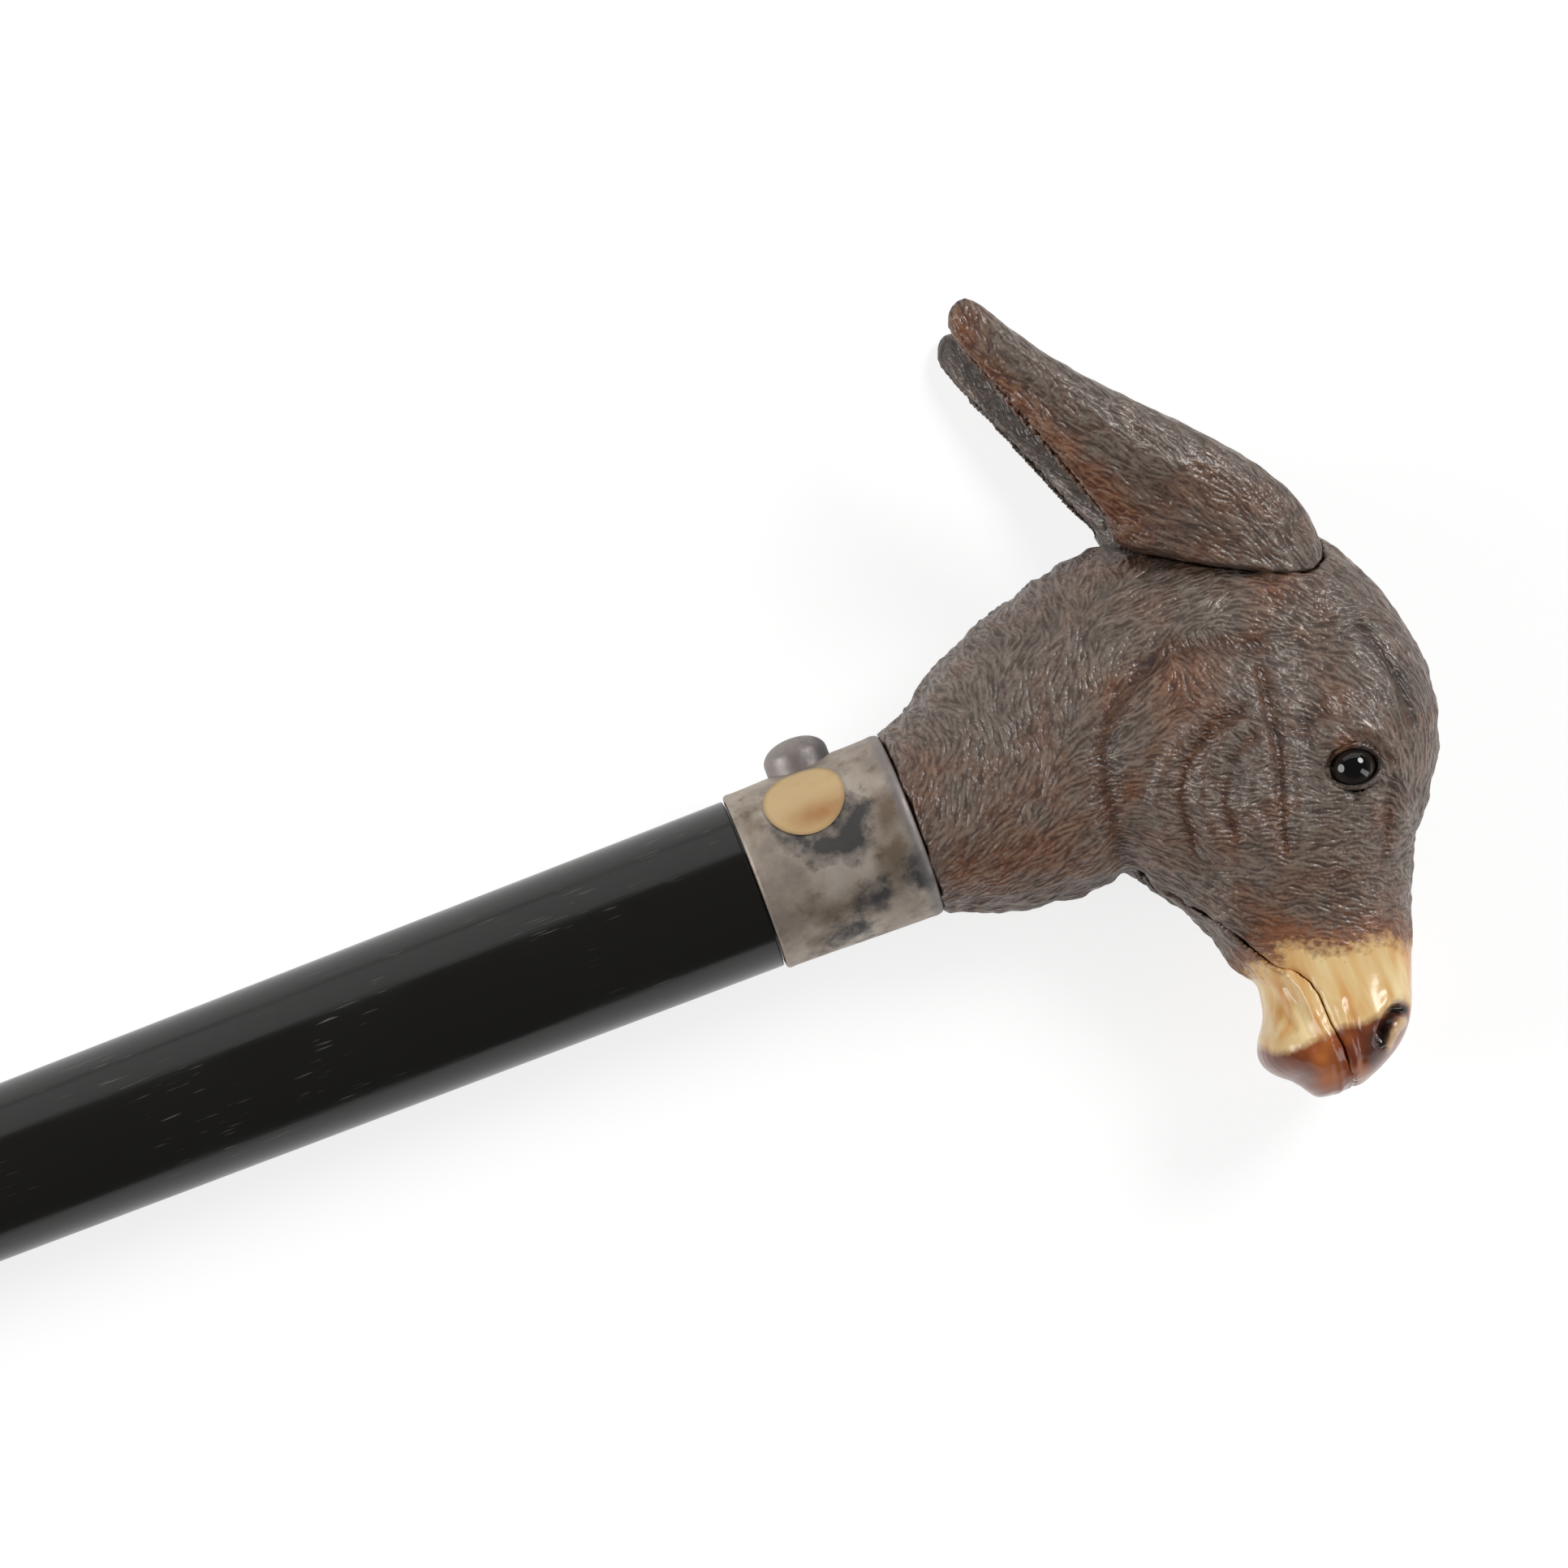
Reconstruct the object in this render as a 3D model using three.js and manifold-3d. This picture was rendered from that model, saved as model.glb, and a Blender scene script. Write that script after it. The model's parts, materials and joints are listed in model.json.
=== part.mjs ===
// Automaton walking cane: a carved donkey's head on a tapered ebonised shaft. Pressing the domed
// button on the silver collar opens the donkey's mouth and lifts its ears.
//
// Sizes are millimetres. The cane is drawn in its own frame, where x runs up the shaft and is 0 where
// the collar meets the head, y points to the nape and z to the donkey's right side. At the end the whole
// cane is turned a little and shifted, so that it lies on a table on its left cheek, left ear and ferrule,
// with the origin in the middle of the ferrule's end face and z up.

import * as THREE from 'three';
import { mergeVertices } from 'three/addons/utils/BufferGeometryUtils.js';
import Module from 'manifold-3d';

const wasm = await Module();
wasm.setup();

// Driving sizes: the stick
const caneLength = 900; // from the ferrule's end face to the brow
const shaftTopRadius = 11.65;
const shaftTaper = 0.00591; // radius lost for each mm down the shaft
const shaftInCollar = 2.2; // how far the shaft's end reaches into the collar
const collarLength = 22.3;
const collarShaftRadius = 12.2;
const collarHeadRadius = 12.7;
const collarWall = 0.9;
const collarLip = 0.08; // height of the rolled edge at each end of the collar
const collarRounding = 0.4; // of the rolled edge, towards its end face
const dowelRadius = 2.8;
const dowelInShaft = 38;
const dowelInSpigot = 4.2;
const ferruleLength = 32;
const ferruleWall = 0.8;
const ferruleBead = 1.2; // width of the bead round the ferrule's upper end
const ferruleBeadRise = 0.4;
const ferruleProud = 0.1; // the ferrule stands this far out of the shaft's surface
const ferruleTipThickness = 4;
const ferruleStudLength = 14;
const ferruleStudRadius = 2.4;
const ferruleFaceRadius = 5.6;

// Driving sizes: the mechanism
const fit = 0.3; // gap left between pieces that touch or turn in each other
const spigotLength = 19.6; // the head's spigot inside the collar
const leverHalfThickness = 1.2;
const pinRadius = 1.0;
const drivePinRadius = 0.85; // pins that push in a lever's slot
const jawPinHalf = 5.4; // half lengths of the cross pins, which end inside the wood
const rockerPinHalf = 9;
const earPinHalf = 7;
const buttonRadius = 4.4;
const buttonX = -11.3;
const buttonRise = 3.8; // dome's top above the collar
const buttonTravel = 2.4;
const buttonStemRadius = 1.7;
const flangeWidth = 0.9; // of the rim under the collar that keeps the button in
const flangeThickness = 0.8;
const stemChamfer = 1.1;
const springWire = 0.4;
const springTurns = 3.5;
const seatThickness = 0.6; // of the washer under the button's spring
const rodY = -7;
const rodHeight = 2.4;
const rodThickness = 2.0;
const rodOverhang = 2.6; // the rod runs on this far past its end pins
const rodChannelRoom = 0.6; // between a lever's end and the channel's floor and roof
const guideThickness = 1.4;
const rearGuideAhead = 17.4; // of the crank's pin
const frontGuideAhead = 9.2; // of the jaw's pin
const crankPivot = new THREE.Vector2(-5.4, 0.5);
const crankHub = 2.4;
const crankNose = 1.3;
const leverEndRadius = 2.1;
const leverOver = 0.3; // how far a lever's round end sits beyond the drive pin
const jawPivot = new THREE.Vector2(30, -17.8);
const jawLugRadius = 3.6;
const rockerPivot = new THREE.Vector2(47, 4);
const rockerArm = 10;
const rockerTipRadius = 1.7;
const rockerHub = 2.6;
const earPivot = new THREE.Vector2(60.2, 14.8);
const earHub = 3.0;
const leverHalfHeight = 2.3;
const earLeverOver = 0.9; // how far the ear lever's end sits beyond the rocker's pin
const earLeverThickness = 2.0;
const crestHalfWidth = 2.45; // the mane's ridge between the ears, which carries the ears' pin

// Driving sizes: what is set into the head
const cheekX = 55; // where the head is widest
const eyeRadius = 3.2;
const eyeAt = new THREE.Vector2(55.7, -14.5);
const eyeProud = 0.9; // how far the glass stands out of the cheek
const toothDepth = 1.5;
const toothRowHalfWidth = 4.6;
const teethInRow = 6;
const toothGap = 0.25;
const cheekInside = 1.6; // room beside the tongue
const tongueThickness = 2.0;
const tongueHalfWidth = 3.6;
const stickerRadius = 5.5;
const stickerThickness = 0.25;
const stickerGap = 0.12;
const stickerX = -12.3;
const stickerAngle = 38; // degrees from the side that lies uppermost, towards the nape

// The head seen from the side. Each station joins a point of the throat and jaw line to a point of the
// nape, crown and nose line, with the half width there, how square the section is and where it is widest.
const headStations = [
  [[0, -collarHeadRadius], [0, collarHeadRadius], collarHeadRadius, 2.0, 0],
  [[4, -14.2], [4.4, 14], 13.2, 2.0, 0],
  [[9, -15.9], [9, 17.6], 13.9, 2.0, -0.05],
  [[15, -16.9], [15.5, 20.7], 14.4, 2.1, -0.08],
  [[20, -17.1], [22, 22.9], 14.8, 2.1, -0.1],
  [[23.5, -17.2], [29, 24.8], 15.0, 2.1, -0.1],
  [[25.2, -17.8], [37, 25.4], 15.2, 2.1, -0.08],
  [[26.0, -18.9], [46, 23.4], 15.4, 2.2, -0.04],
  [[26.8, -20.2], [54, 21.2], 15.6, 2.3, 0.02],
  [[27.6, -21.3], [61.5, 18.6], 15.9, 2.4, 0.08],
  [[28.6, -22.6], [66, 13.6], 16.2, 2.5, 0.14],
  [[29.8, -24.4], [68.9, 7], 16.4, 2.6, 0.18],
  [[30.8, -26], [70.9, -1], 16.5, 2.7, 0.2],
  [[31.5, -28], [71.3, -8], 16.2, 2.7, 0.2],
  [[32.1, -30], [69.3, -15], 15.2, 2.6, 0.18],
  [[32.8, -32.3], [65.9, -20.3], 13.7, 2.5, 0.14],
  [[34.1, -35], [61.7, -26], 12.2, 2.4, 0.1],
  [[34.9, -38], [58.8, -32], 11.2, 2.4, 0.05],
  [[34.4, -41], [56.5, -38], 10.8, 2.4, 0],
  [[32.8, -44], [54.4, -43.5], 11.0, 2.4, 0],
  [[32.5, -46.6], [52.8, -47.3], 11.2, 2.4, 0],
  [[34.2, -49.6], [50.2, -50.4], 10.4, 2.3, 0],
  [[36.8, -52.7], [46.8, -52.5], 7.6, 2.1, 0],
  [[40.2, -53.7], [43.6, -53.8], 3.2, 2.0, 0],
];
const headRings = 56;
const headPoints = 36;

// Swellings and hollows of the cheek, brow and muzzle: centre, reach in x and y, rise.
const headRelief = [
  [[38, -5.6], [12.5, 12.5], 2.0, 4], // jowl, a disc with a steep rim
  [[57.3, -9.7], [5.5, 3.6], 1.7, 2], // brow
  [[55.4, 2.3], [6, 5], -1.3, 2], // hollow of the temple
  [[45, -30], [6, 5], -0.8, 2], // hollow between cheek and muzzle
  [[49, -47], [4.2, 4], 1.5, 2], // nostril
  [[36, -46.5], [4, 3.6], 1.2, 2], // chin
];

// Where ear and head part, from the back of the ear to below the ears' pin.
const earSeat = [[37.1, 24.9], [39.6, 22.8], [43.6, 20], [48.5, 16.7], [53.4, 14], [57.3, 12.2]];
const earStations = [
  // lower edge, upper edge, middle of the ear's thickness in z, half thickness
  [[46, 12.5], [61.4, 7.6], 8.2, 5.6],
  [[40.6, 19.3], [63.3, 12.2], 8.4, 6],
  [[37.8, 24], [63.6, 16.9], 8.8, 6.1],
  [[37.6, 27.8], [62.1, 22.3], 9.7, 6],
  [[36, 31.6], [59.1, 27.3], 10.8, 5.7],
  [[33.8, 36.4], [54.9, 32.3], 12, 5.2],
  [[32.1, 41.1], [49.3, 38.1], 13, 4.6],
  [[30.3, 46.1], [43.7, 43.9], 13.7, 3.9],
  [[28.8, 51.1], [38.6, 49.7], 14.5, 3.1],
  [[27.5, 55.3], [34.7, 54.9], 15.2, 2.5],
  [[27, 58.2], [33, 58], 15.7, 2],
  [[27.9, 60.2], [31.8, 60], 16.1, 1.3],
  [[29.2, 61], [30.5, 61], 16.3, 0.7],
];
const earRings = 20;
const earPoints = 20;

// Where the lower jaw parts from the head: along the underside of the cheek, then along the lips.
const jawSeam = [
  [26.7, -22], [30.4, -24], [33, -27.6], [35.3, -31.8], [37.5, -35.4], [39.5, -36.8],
  [40.6, -38.6], [41.1, -40.8], [41.1, -44.8], [41.5, -47.8], [41.5, -50.3], [41.7, -55],
];

// The mouth inside: how far it reaches, where its floor and roof are and where the lips meet.
const lipsInnerY = -52.1;
const mouthFloorX = 37.6;
const mouthRoofX = 45;
const lipsX = 41.5;

// Worked out from the sizes above
const degrees = Math.PI / 180;
const browReach = Math.max(...headStations.map((station) => station[1][0]));
const tipX = browReach - caneLength;
const shaftTopX = -collarLength + shaftInCollar;
const shaftRadiusAt = (x) => shaftTopRadius + shaftTaper * (x + collarLength);
const collarRadiusAt = (x) => collarHeadRadius + ((collarHeadRadius - collarShaftRadius) / collarLength) * x;
const spigotRadius = Math.min(collarShaftRadius, collarHeadRadius) - collarWall - fit;
const crankPinHalf = Math.sqrt(spigotRadius ** 2 - crankPivot.y ** 2) - 0.4;
const crankReach = crankPivot.x - buttonX;
const crankArm = crankPivot.y - rodY;
const crankSwing = Math.asin(buttonTravel / crankReach);
const rodTravel = crankArm * Math.tan(crankSwing);
const jawArm = rodY - jawPivot.y;
const jawSwing = Math.atan(rodTravel / jawArm);
const rockerDrop = rockerPivot.y - rodY;
const rockerSwing = Math.atan(rodTravel / rockerDrop);
const rockerToEar = earPivot.clone().sub(rockerPivot);
const earLeverReach = rockerToEar.length() - rockerArm;
const rockerTip = rockerPivot.clone().addScaledVector(rockerToEar.clone().normalize(), rockerArm);
const rockerTipUp = rockerTip.clone().rotateAround(rockerPivot, rockerSwing);
const rodLow = leverHalfThickness + fit;
const rodHigh = rodLow + rodThickness;
const earLeverLow = crestHalfWidth + fit;
const earLeverHigh = earLeverLow + earLeverThickness;
const channelHalf = leverEndRadius + rodChannelRoom; // half the depth of the rod's channel
const bayHalfWidth = rodHigh + fit; // half the width of the hollow sawn down the middle of the head
const rockerBayHalfWidth = earLeverHigh + 2 * fit;
const bayFloor = rodY - channelHalf;
const bayRoof = crankPivot.y + crankHub + fit;
const flangeRadius = buttonRadius + flangeWidth;
const flangeTop = Math.sqrt((spigotRadius - 0.1) ** 2 - flangeRadius ** 2);
const buttonBoreRadius = flangeRadius + fit;
const slack = drivePinRadius + fit + 0.1; // half width of a slot that a drive pin slides in
const beyondSides = 2 * Math.max(...headStations.map((station) => station[2]));
const beyondEars = 1.5 * Math.max(...earStations.map((station) => station[1][1]));
const beyondMuzzle = 1.3 * Math.min(...headStations.map((station) => station[1][1]));

// Solids

function solidOf(geometry) {
  const bare = geometry.index ? geometry.toNonIndexed() : geometry.clone();
  bare.deleteAttribute('normal');
  bare.deleteAttribute('uv');
  const welded = mergeVertices(bare, 1e-4);
  return new wasm.Manifold(new wasm.Mesh({
    numProp: 3,
    vertProperties: welded.attributes.position.array,
    triVerts: new Uint32Array(welded.index.array),
  }));
}

function geometryOf(solid) {
  const { vertProperties, triVerts } = solid.getMesh();
  const geometry = new THREE.BufferGeometry();
  geometry.setAttribute('position', new THREE.BufferAttribute(vertProperties, 3));
  geometry.setIndex(new THREE.BufferAttribute(triVerts, 1));
  geometry.computeVertexNormals();
  return geometry;
}

const joined = (...solids) => solids.reduce((all, next) => all.add(next));
const cutBy = (solid, ...tools) => tools.reduce((left, tool) => left.subtract(tool), solid);

function slab(shape, depth, curveSegments) {
  return new THREE.ExtrudeGeometry(shape, { depth, bevelEnabled: false, curveSegments });
}

// A flat plate in the xy plane, from z low to z high.
function plate(shape, low, high) {
  return solidOf(slab(shape, high - low, 5).translate(0, 0, low));
}

function outline(points) {
  return new THREE.Shape(points.map((point) => (point.isVector2 ? point : new THREE.Vector2(...point))));
}

function disc(centre, radius) {
  return new THREE.Shape().absarc(centre.x, centre.y, radius, 0, 2 * Math.PI);
}

// A bar with round ends between two points.
function bar(from, to, radius) {
  const heading = Math.atan2(to.y - from.y, to.x - from.x);
  const quarter = Math.PI / 2;
  return new THREE.Shape()
    .absarc(to.x, to.y, radius, heading - quarter, heading + quarter)
    .absarc(from.x, from.y, radius, heading + quarter, heading + 3 * quarter);
}

function block(xLow, xHigh, yLow, yHigh, zLow, zHigh) {
  return plate(outline([[xLow, yLow], [xHigh, yLow], [xHigh, yHigh], [xLow, yHigh]]), zLow, zHigh);
}

// A turned piece: profile points are [x along the axis, radius].
function turned(profile, segments = 40) {
  const points = profile.map(([along, radius]) => new THREE.Vector2(radius, along));
  return solidOf(new THREE.LatheGeometry(points, segments).rotateZ(-Math.PI / 2));
}

// A turned piece that stands along y at a place on the collar.
function turnedUpright(profile, x, segments = 24) {
  const points = profile.map(([height, radius]) => new THREE.Vector2(radius, height));
  return solidOf(new THREE.LatheGeometry(points, segments).translate(x, 0, 0));
}

function crossPin(centre, radius, low, high, segments = 12) {
  const pin = new THREE.CylinderGeometry(radius, radius, high - low, segments).rotateX(Math.PI / 2);
  return solidOf(pin.translate(centre.x, centre.y, (low + high) / 2));
}

// A closed skin over rings of points, with a fan at each end.
function loft(rings) {
  const count = rings[0].length;
  const middle = (ring) => ring.reduce((sum, p) => sum.add(p), new THREE.Vector3()).divideScalar(count);
  const points = [...rings.flat(), middle(rings[0]), middle(rings.at(-1))];
  const faces = [];
  for (let j = 0; j < count; j++) {
    const k = (j + 1) % count;
    for (let i = 0; i < rings.length - 1; i++) {
      const [a, b, c, d] = [i * count + j, i * count + k, (i + 1) * count + k, (i + 1) * count + j];
      faces.push(a, b, c, a, c, d);
    }
    const last = (rings.length - 1) * count;
    faces.push(points.length - 2, k, j);
    faces.push(points.length - 1, last + j, last + k);
  }
  const geometry = new THREE.BufferGeometry().setFromPoints(points).setIndex(faces);
  return solidOf(geometry);
}

// Samples a table's columns along a smooth curve through its rows.
function smoothRows(rows, count) {
  const curve = (pick) => {
    const points = rows.map((row) => new THREE.Vector3(...pick(row)));
    return new THREE.CatmullRomCurve3(points, false, 'centripetal');
  };
  const edges = [curve((row) => [...row[0], 0]), curve((row) => [...row[1], 0])];
  const widths = curve((row) => [row[2], row[3], row[4] ?? 0]);
  return Array.from({ length: count }, (_, i) => {
    const t = i / (count - 1);
    return [edges[0].getPoint(t), edges[1].getPoint(t), widths.getPoint(t)];
  });
}

const signedPower = (value, power) => Math.sign(value) * Math.abs(value) ** power;

// Offsets a polyline to its left by a distance.
function offsetLine(points, distance) {
  return points.map(([x, y], i) => {
    const before = points[Math.max(i - 1, 0)];
    const after = points[Math.min(i + 1, points.length - 1)];
    const run = Math.hypot(after[0] - before[0], after[1] - before[1]);
    return [x - (distance * (after[1] - before[1])) / run, y + (distance * (after[0] - before[0])) / run];
  });
}

// The carved head

function reliefAt(x, y) {
  return headRelief.reduce((rise, [[cx, cy], [rx, ry], height, steepness]) => {
    const away = Math.hypot((x - cx) / rx, (y - cy) / ry);
    return rise + height * Math.exp(-(away ** steepness));
  }, 0);
}

function headRing([inner, outer, width]) {
  const half = outer.clone().sub(inner).multiplyScalar(0.5);
  const centre = inner.clone().add(half);
  const power = 2 / width.y;
  return Array.from({ length: headPoints }, (_, j) => {
    const angle = (2 * Math.PI * j) / headPoints;
    const along = signedPower(Math.cos(angle), power);
    const across = signedPower(Math.sin(angle), power);
    const point = centre.clone().addScaledVector(half, along + width.z * (1 - along * along));
    const edge = Math.abs(across) ** 0.7;
    point.z = across * width.x + Math.sign(across) * edge * reliefAt(point.x, point.y);
    return point;
  });
}

const headForm = loft(smoothRows(headStations, headRings).map(headRing));

// Half width of the head's form at a point of its side view.
function halfWidthAt(x, y) {
  const probe = block(x - 0.2, x + 0.2, y - 0.2, y + 0.2, 0, beyondSides);
  return headForm.intersect(probe).boundingBox().max[2];
}

function bothSides(makeOne) {
  return [1, -1].map((side) => makeOne(side));
}

// A plate on one side of the middle plane, between two distances from it.
function sidePlate(shape, near, far, side) {
  return side > 0 ? plate(shape, near, far) : plate(shape, -far, -near);
}

// Region above the ear's seat, with its round front end about the ears' pin and the nape left out.
function aboveSeat(gap) {
  const line = offsetLine(earSeat, gap).reverse();
  const radius = earHub + fit - gap;
  const arc = Array.from({ length: 7 }, (_, i) => {
    const angle = -20 * i * degrees;
    return [earPivot.x + radius * Math.cos(angle), earPivot.y + radius * Math.sin(angle)];
  });
  const behindEars = [20, 45];
  const overPin = [earPivot.x + radius, earPivot.y + beyondEars / 3];
  return outline([overPin, ...arc, ...line, behindEars, [behindEars[0], beyondEars]]);
}

function jawRegion(gap) {
  const line = offsetLine(jawSeam, gap);
  const belowThroat = [18, -25];
  return outline([belowThroat, ...line, [lipsX, beyondMuzzle], [0, beyondMuzzle]]);
}

function hollows() {
  const bay = (xLow, xHigh, yHigh, half) => block(xLow, xHigh, bayFloor, yHigh, -half, half);
  const rodEnd = rockerPivot.x + rodTravel + rodOverhang;
  const crankEnd = crankPivot.x + crankHub + rodTravel + fit;
  const crankBay = bay(buttonX - crankNose - 1, crankEnd, bayRoof, bayHalfWidth);
  const rodChannel = bay(crankPivot.x - rodOverhang - 1, rodEnd + fit, rodY + channelHalf, bayHalfWidth);
  const rockerBay = bay(
    rockerPivot.x - rockerHub - 4 * fit, rockerTip.x + rockerTipRadius + 3 * fit,
    rockerTipUp.y + rockerTipRadius + fit, rockerBayHalfWidth,
  );
  const rear = jawPivot.x - jawLugRadius - 2 * fit;
  const front = jawPivot.x + 2 * jawLugRadius;
  const jawBay = plate(outline([
    [rear, rodY], [front, rodY], [front, -24], [39.2, -33.5], [38.6, -37.5], [29, -37.5],
    [rear - 8, -30], [rear - 8, jawPivot.y - 6], [rear, jawPivot.y],
  ]), -jawLugRadius - 2 * fit, jawLugRadius + 2 * fit);
  const outside = 1.6 * collarHeadRadius;
  const buttonBore = turnedUpright([
    [bayRoof - 0.01, 0], [bayRoof - 0.01, buttonBoreRadius], [outside, buttonBoreRadius], [outside, 0],
  ], buttonX);
  const [tipAtX, tipAtY] = rockerTip.toArray();
  const under = leverHalfHeight + 2; // room under the lever for the swing of its free end
  const leverSlot = outline([
    [tipAtX - under, tipAtY - leverHalfHeight], [tipAtX + leverHalfHeight, tipAtY - under],
    [earPivot.x, earPivot.y - under], [earPivot.x + earHub + fit, earPivot.y],
    [earPivot.x, earPivot.y + 2 * earHub], [tipAtX - earHub, earPivot.y + earHub],
    [tipAtX - under, tipAtY + under],
  ]);
  const leverSlots = bothSides((side) => sidePlate(leverSlot, earLeverLow - fit, earLeverHigh + fit, side));
  return joined(crankBay, rodChannel, rockerBay, jawBay, buttonBore, ...leverSlots);
}

// The mouth's hollow in the upper jaw and the tongue's bed in the lower one
const palate = [
  [40.6, -39.4], [43.6, -40.6], [44.6, -44], [mouthRoofX, -50.2], [mouthRoofX, lipsInnerY],
  [40.6, lipsInnerY],
];
const tongueBed = [
  [42.2, -40], [mouthFloorX + 0.8, -40.6], [mouthFloorX, -45], [mouthFloorX, lipsInnerY], [42.2, lipsInnerY],
];

function eyeCentre(side) {
  const z = halfWidthAt(eyeAt.x, eyeAt.y) + eyeProud - eyeRadius;
  return new THREE.Vector3(eyeAt.x, eyeAt.y, side * z);
}

function eyeball(side, radius) {
  const centre = eyeCentre(side);
  return solidOf(new THREE.SphereGeometry(radius, 16, 10).translate(centre.x, centre.y, centre.z));
}

function makeHead() {
  const spigot = turned([[-spigotLength, 0], [-spigotLength, spigotRadius], [1, spigotRadius], [1, 0]], 40);
  const dowelHole = turned([
    [-spigotLength - 1, 0], [-spigotLength - 1, dowelRadius + fit],
    [-spigotLength + dowelInSpigot + fit, dowelRadius + fit], [-spigotLength + dowelInSpigot + fit, 0],
  ], 24);
  const seats = bothSides((side) => sidePlate(aboveSeat(0), crestHalfWidth, beyondSides, side));
  const pinHoles = [
    crossPin(crankPivot, pinRadius + fit, -crankPinHalf - fit, crankPinHalf + fit),
    crossPin(jawPivot, pinRadius + fit, -jawPinHalf - fit, jawPinHalf + fit),
    crossPin(rockerPivot, pinRadius + fit, -rockerPinHalf - fit, rockerPinHalf + fit),
    crossPin(earPivot, pinRadius + fit, -crestHalfWidth - 1, crestHalfWidth + 1),
  ];
  const sockets = bothSides((side) => eyeball(side, eyeRadius + fit));
  const mouth = plate(outline(palate), -tongueHalfWidth - cheekInside, tongueHalfWidth + cheekInside);
  const jawRoom = plate(jawRegion(fit), -beyondSides, beyondSides);
  return cutBy(
    joined(headForm, spigot), dowelHole, hollows(), ...seats, jawRoom, ...pinHoles, ...sockets, mouth,
  );
}

// The lower jaw, with a forked lug that carries the jaw's lever
const lugFoot = new THREE.Vector2(34.6, -31);

function makeJaw() {
  const outer = headForm.intersect(plate(jawRegion(0), -beyondSides, beyondSides));
  const lug = joined(
    headForm.intersect(plate(bar(jawPivot, lugFoot, jawLugRadius), -jawLugRadius, jawLugRadius)),
    plate(disc(jawPivot, jawLugRadius), -jawLugRadius, jawLugRadius),
  );
  const forkHalf = leverHalfThickness + fit;
  const fork = plate(bar(jawPivot, lugFoot, jawLugRadius + 2), -forkHalf, forkHalf);
  const forkStop = plate(jawRegion(-1.2), -jawLugRadius - 1, jawLugRadius + 1);
  return cutBy(
    joined(outer, lug.subtract(fork.subtract(forkStop))),
    fork.subtract(forkStop),
    crossPin(jawPivot, pinRadius + fit, -jawPinHalf - fit, jawPinHalf + fit),
    plate(outline(tongueBed), -toothRowHalfWidth - fit, toothRowHalfWidth + fit),
  );
}

// The jaw's brass lever: a hub on the jaw's pin, a foot in the jaw and a slotted arm for the rod's pin
function slotted(body, centre, towards, restReach, farReach) {
  const from = centre.clone().addScaledVector(towards, restReach - 0.2);
  const to = centre.clone().addScaledVector(towards, farReach + 0.1);
  return body.subtract(plate(bar(from, to, slack), -beyondSides, beyondSides));
}

function makeJawLever() {
  const half = leverHalfThickness;
  const up = new THREE.Vector2(0, 1);
  const armEnd = jawPivot.clone().addScaledVector(up, jawArm + leverOver);
  const foot = jawPivot.clone().lerp(lugFoot, 0.2);
  const body = joined(
    plate(bar(jawPivot, armEnd, leverEndRadius), -half, half),
    plate(bar(jawPivot, foot, leverHalfHeight), -half, half),
    plate(disc(jawPivot, leverHalfHeight + 0.5), -half, half),
  );
  const pinHole = crossPin(jawPivot, pinRadius + fit, -beyondSides, beyondSides);
  return slotted(body.subtract(pinHole), jawPivot, up, jawArm, jawArm / Math.cos(jawSwing));
}

function makeCrank() {
  const half = leverHalfThickness;
  const down = new THREE.Vector2(0, -1);
  const nose = new THREE.Vector2(buttonX, crankPivot.y);
  const armEnd = crankPivot.clone().addScaledVector(down, crankArm + leverOver);
  const body = joined(
    plate(bar(crankPivot, armEnd, leverEndRadius), -half, half),
    plate(bar(crankPivot, nose, crankNose), -half, half),
    plate(disc(crankPivot, crankHub), -half, half),
  );
  const pinHole = crossPin(crankPivot, pinRadius + fit, -beyondSides, beyondSides);
  return slotted(body.subtract(pinHole), crankPivot, down, crankArm, crankArm / Math.cos(crankSwing));
}

function makeRocker() {
  const half = leverHalfThickness;
  const down = new THREE.Vector2(0, -1);
  const armEnd = rockerPivot.clone().addScaledVector(down, rockerDrop + leverOver);
  const body = joined(
    plate(bar(rockerPivot, armEnd, leverEndRadius), -half, half),
    plate(bar(rockerPivot, rockerTip, rockerTipRadius), -half, half),
    plate(disc(rockerPivot, rockerHub), -half, half),
    crossPin(rockerTip, drivePinRadius, -earLeverHigh - fit, earLeverHigh + fit),
  );
  const pinHole = crossPin(rockerPivot, pinRadius + fit, -beyondSides, beyondSides);
  return slotted(body.subtract(pinHole), rockerPivot, down, rockerDrop, rockerDrop / Math.cos(rockerSwing));
}

function makeRod() {
  const flat = block(
    crankPivot.x - rodOverhang, rockerPivot.x + rodOverhang, rodY - rodHeight / 2, rodY + rodHeight / 2,
    rodLow, rodHigh,
  );
  const pins = [crankPivot.x, jawPivot.x, rockerPivot.x].map((x) => crossPin(
    new THREE.Vector2(x, rodY), drivePinRadius, -leverHalfThickness - fit, rodLow + 0.5,
  ));
  return joined(flat, ...pins);
}

function makeRodGuide(x) {
  const end = x + guideThickness;
  const body = block(
    x, end, bayFloor + fit, rodY + channelHalf - fit, -bayHalfWidth + fit, bayHalfWidth - fit,
  );
  const halfHeight = rodHeight / 2 + fit;
  const gate = block(
    x - guideThickness, end + guideThickness, rodY - halfHeight, rodY + halfHeight,
    rodLow - fit, bayHalfWidth,
  );
  return body.subtract(gate);
}

// Ears

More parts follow.
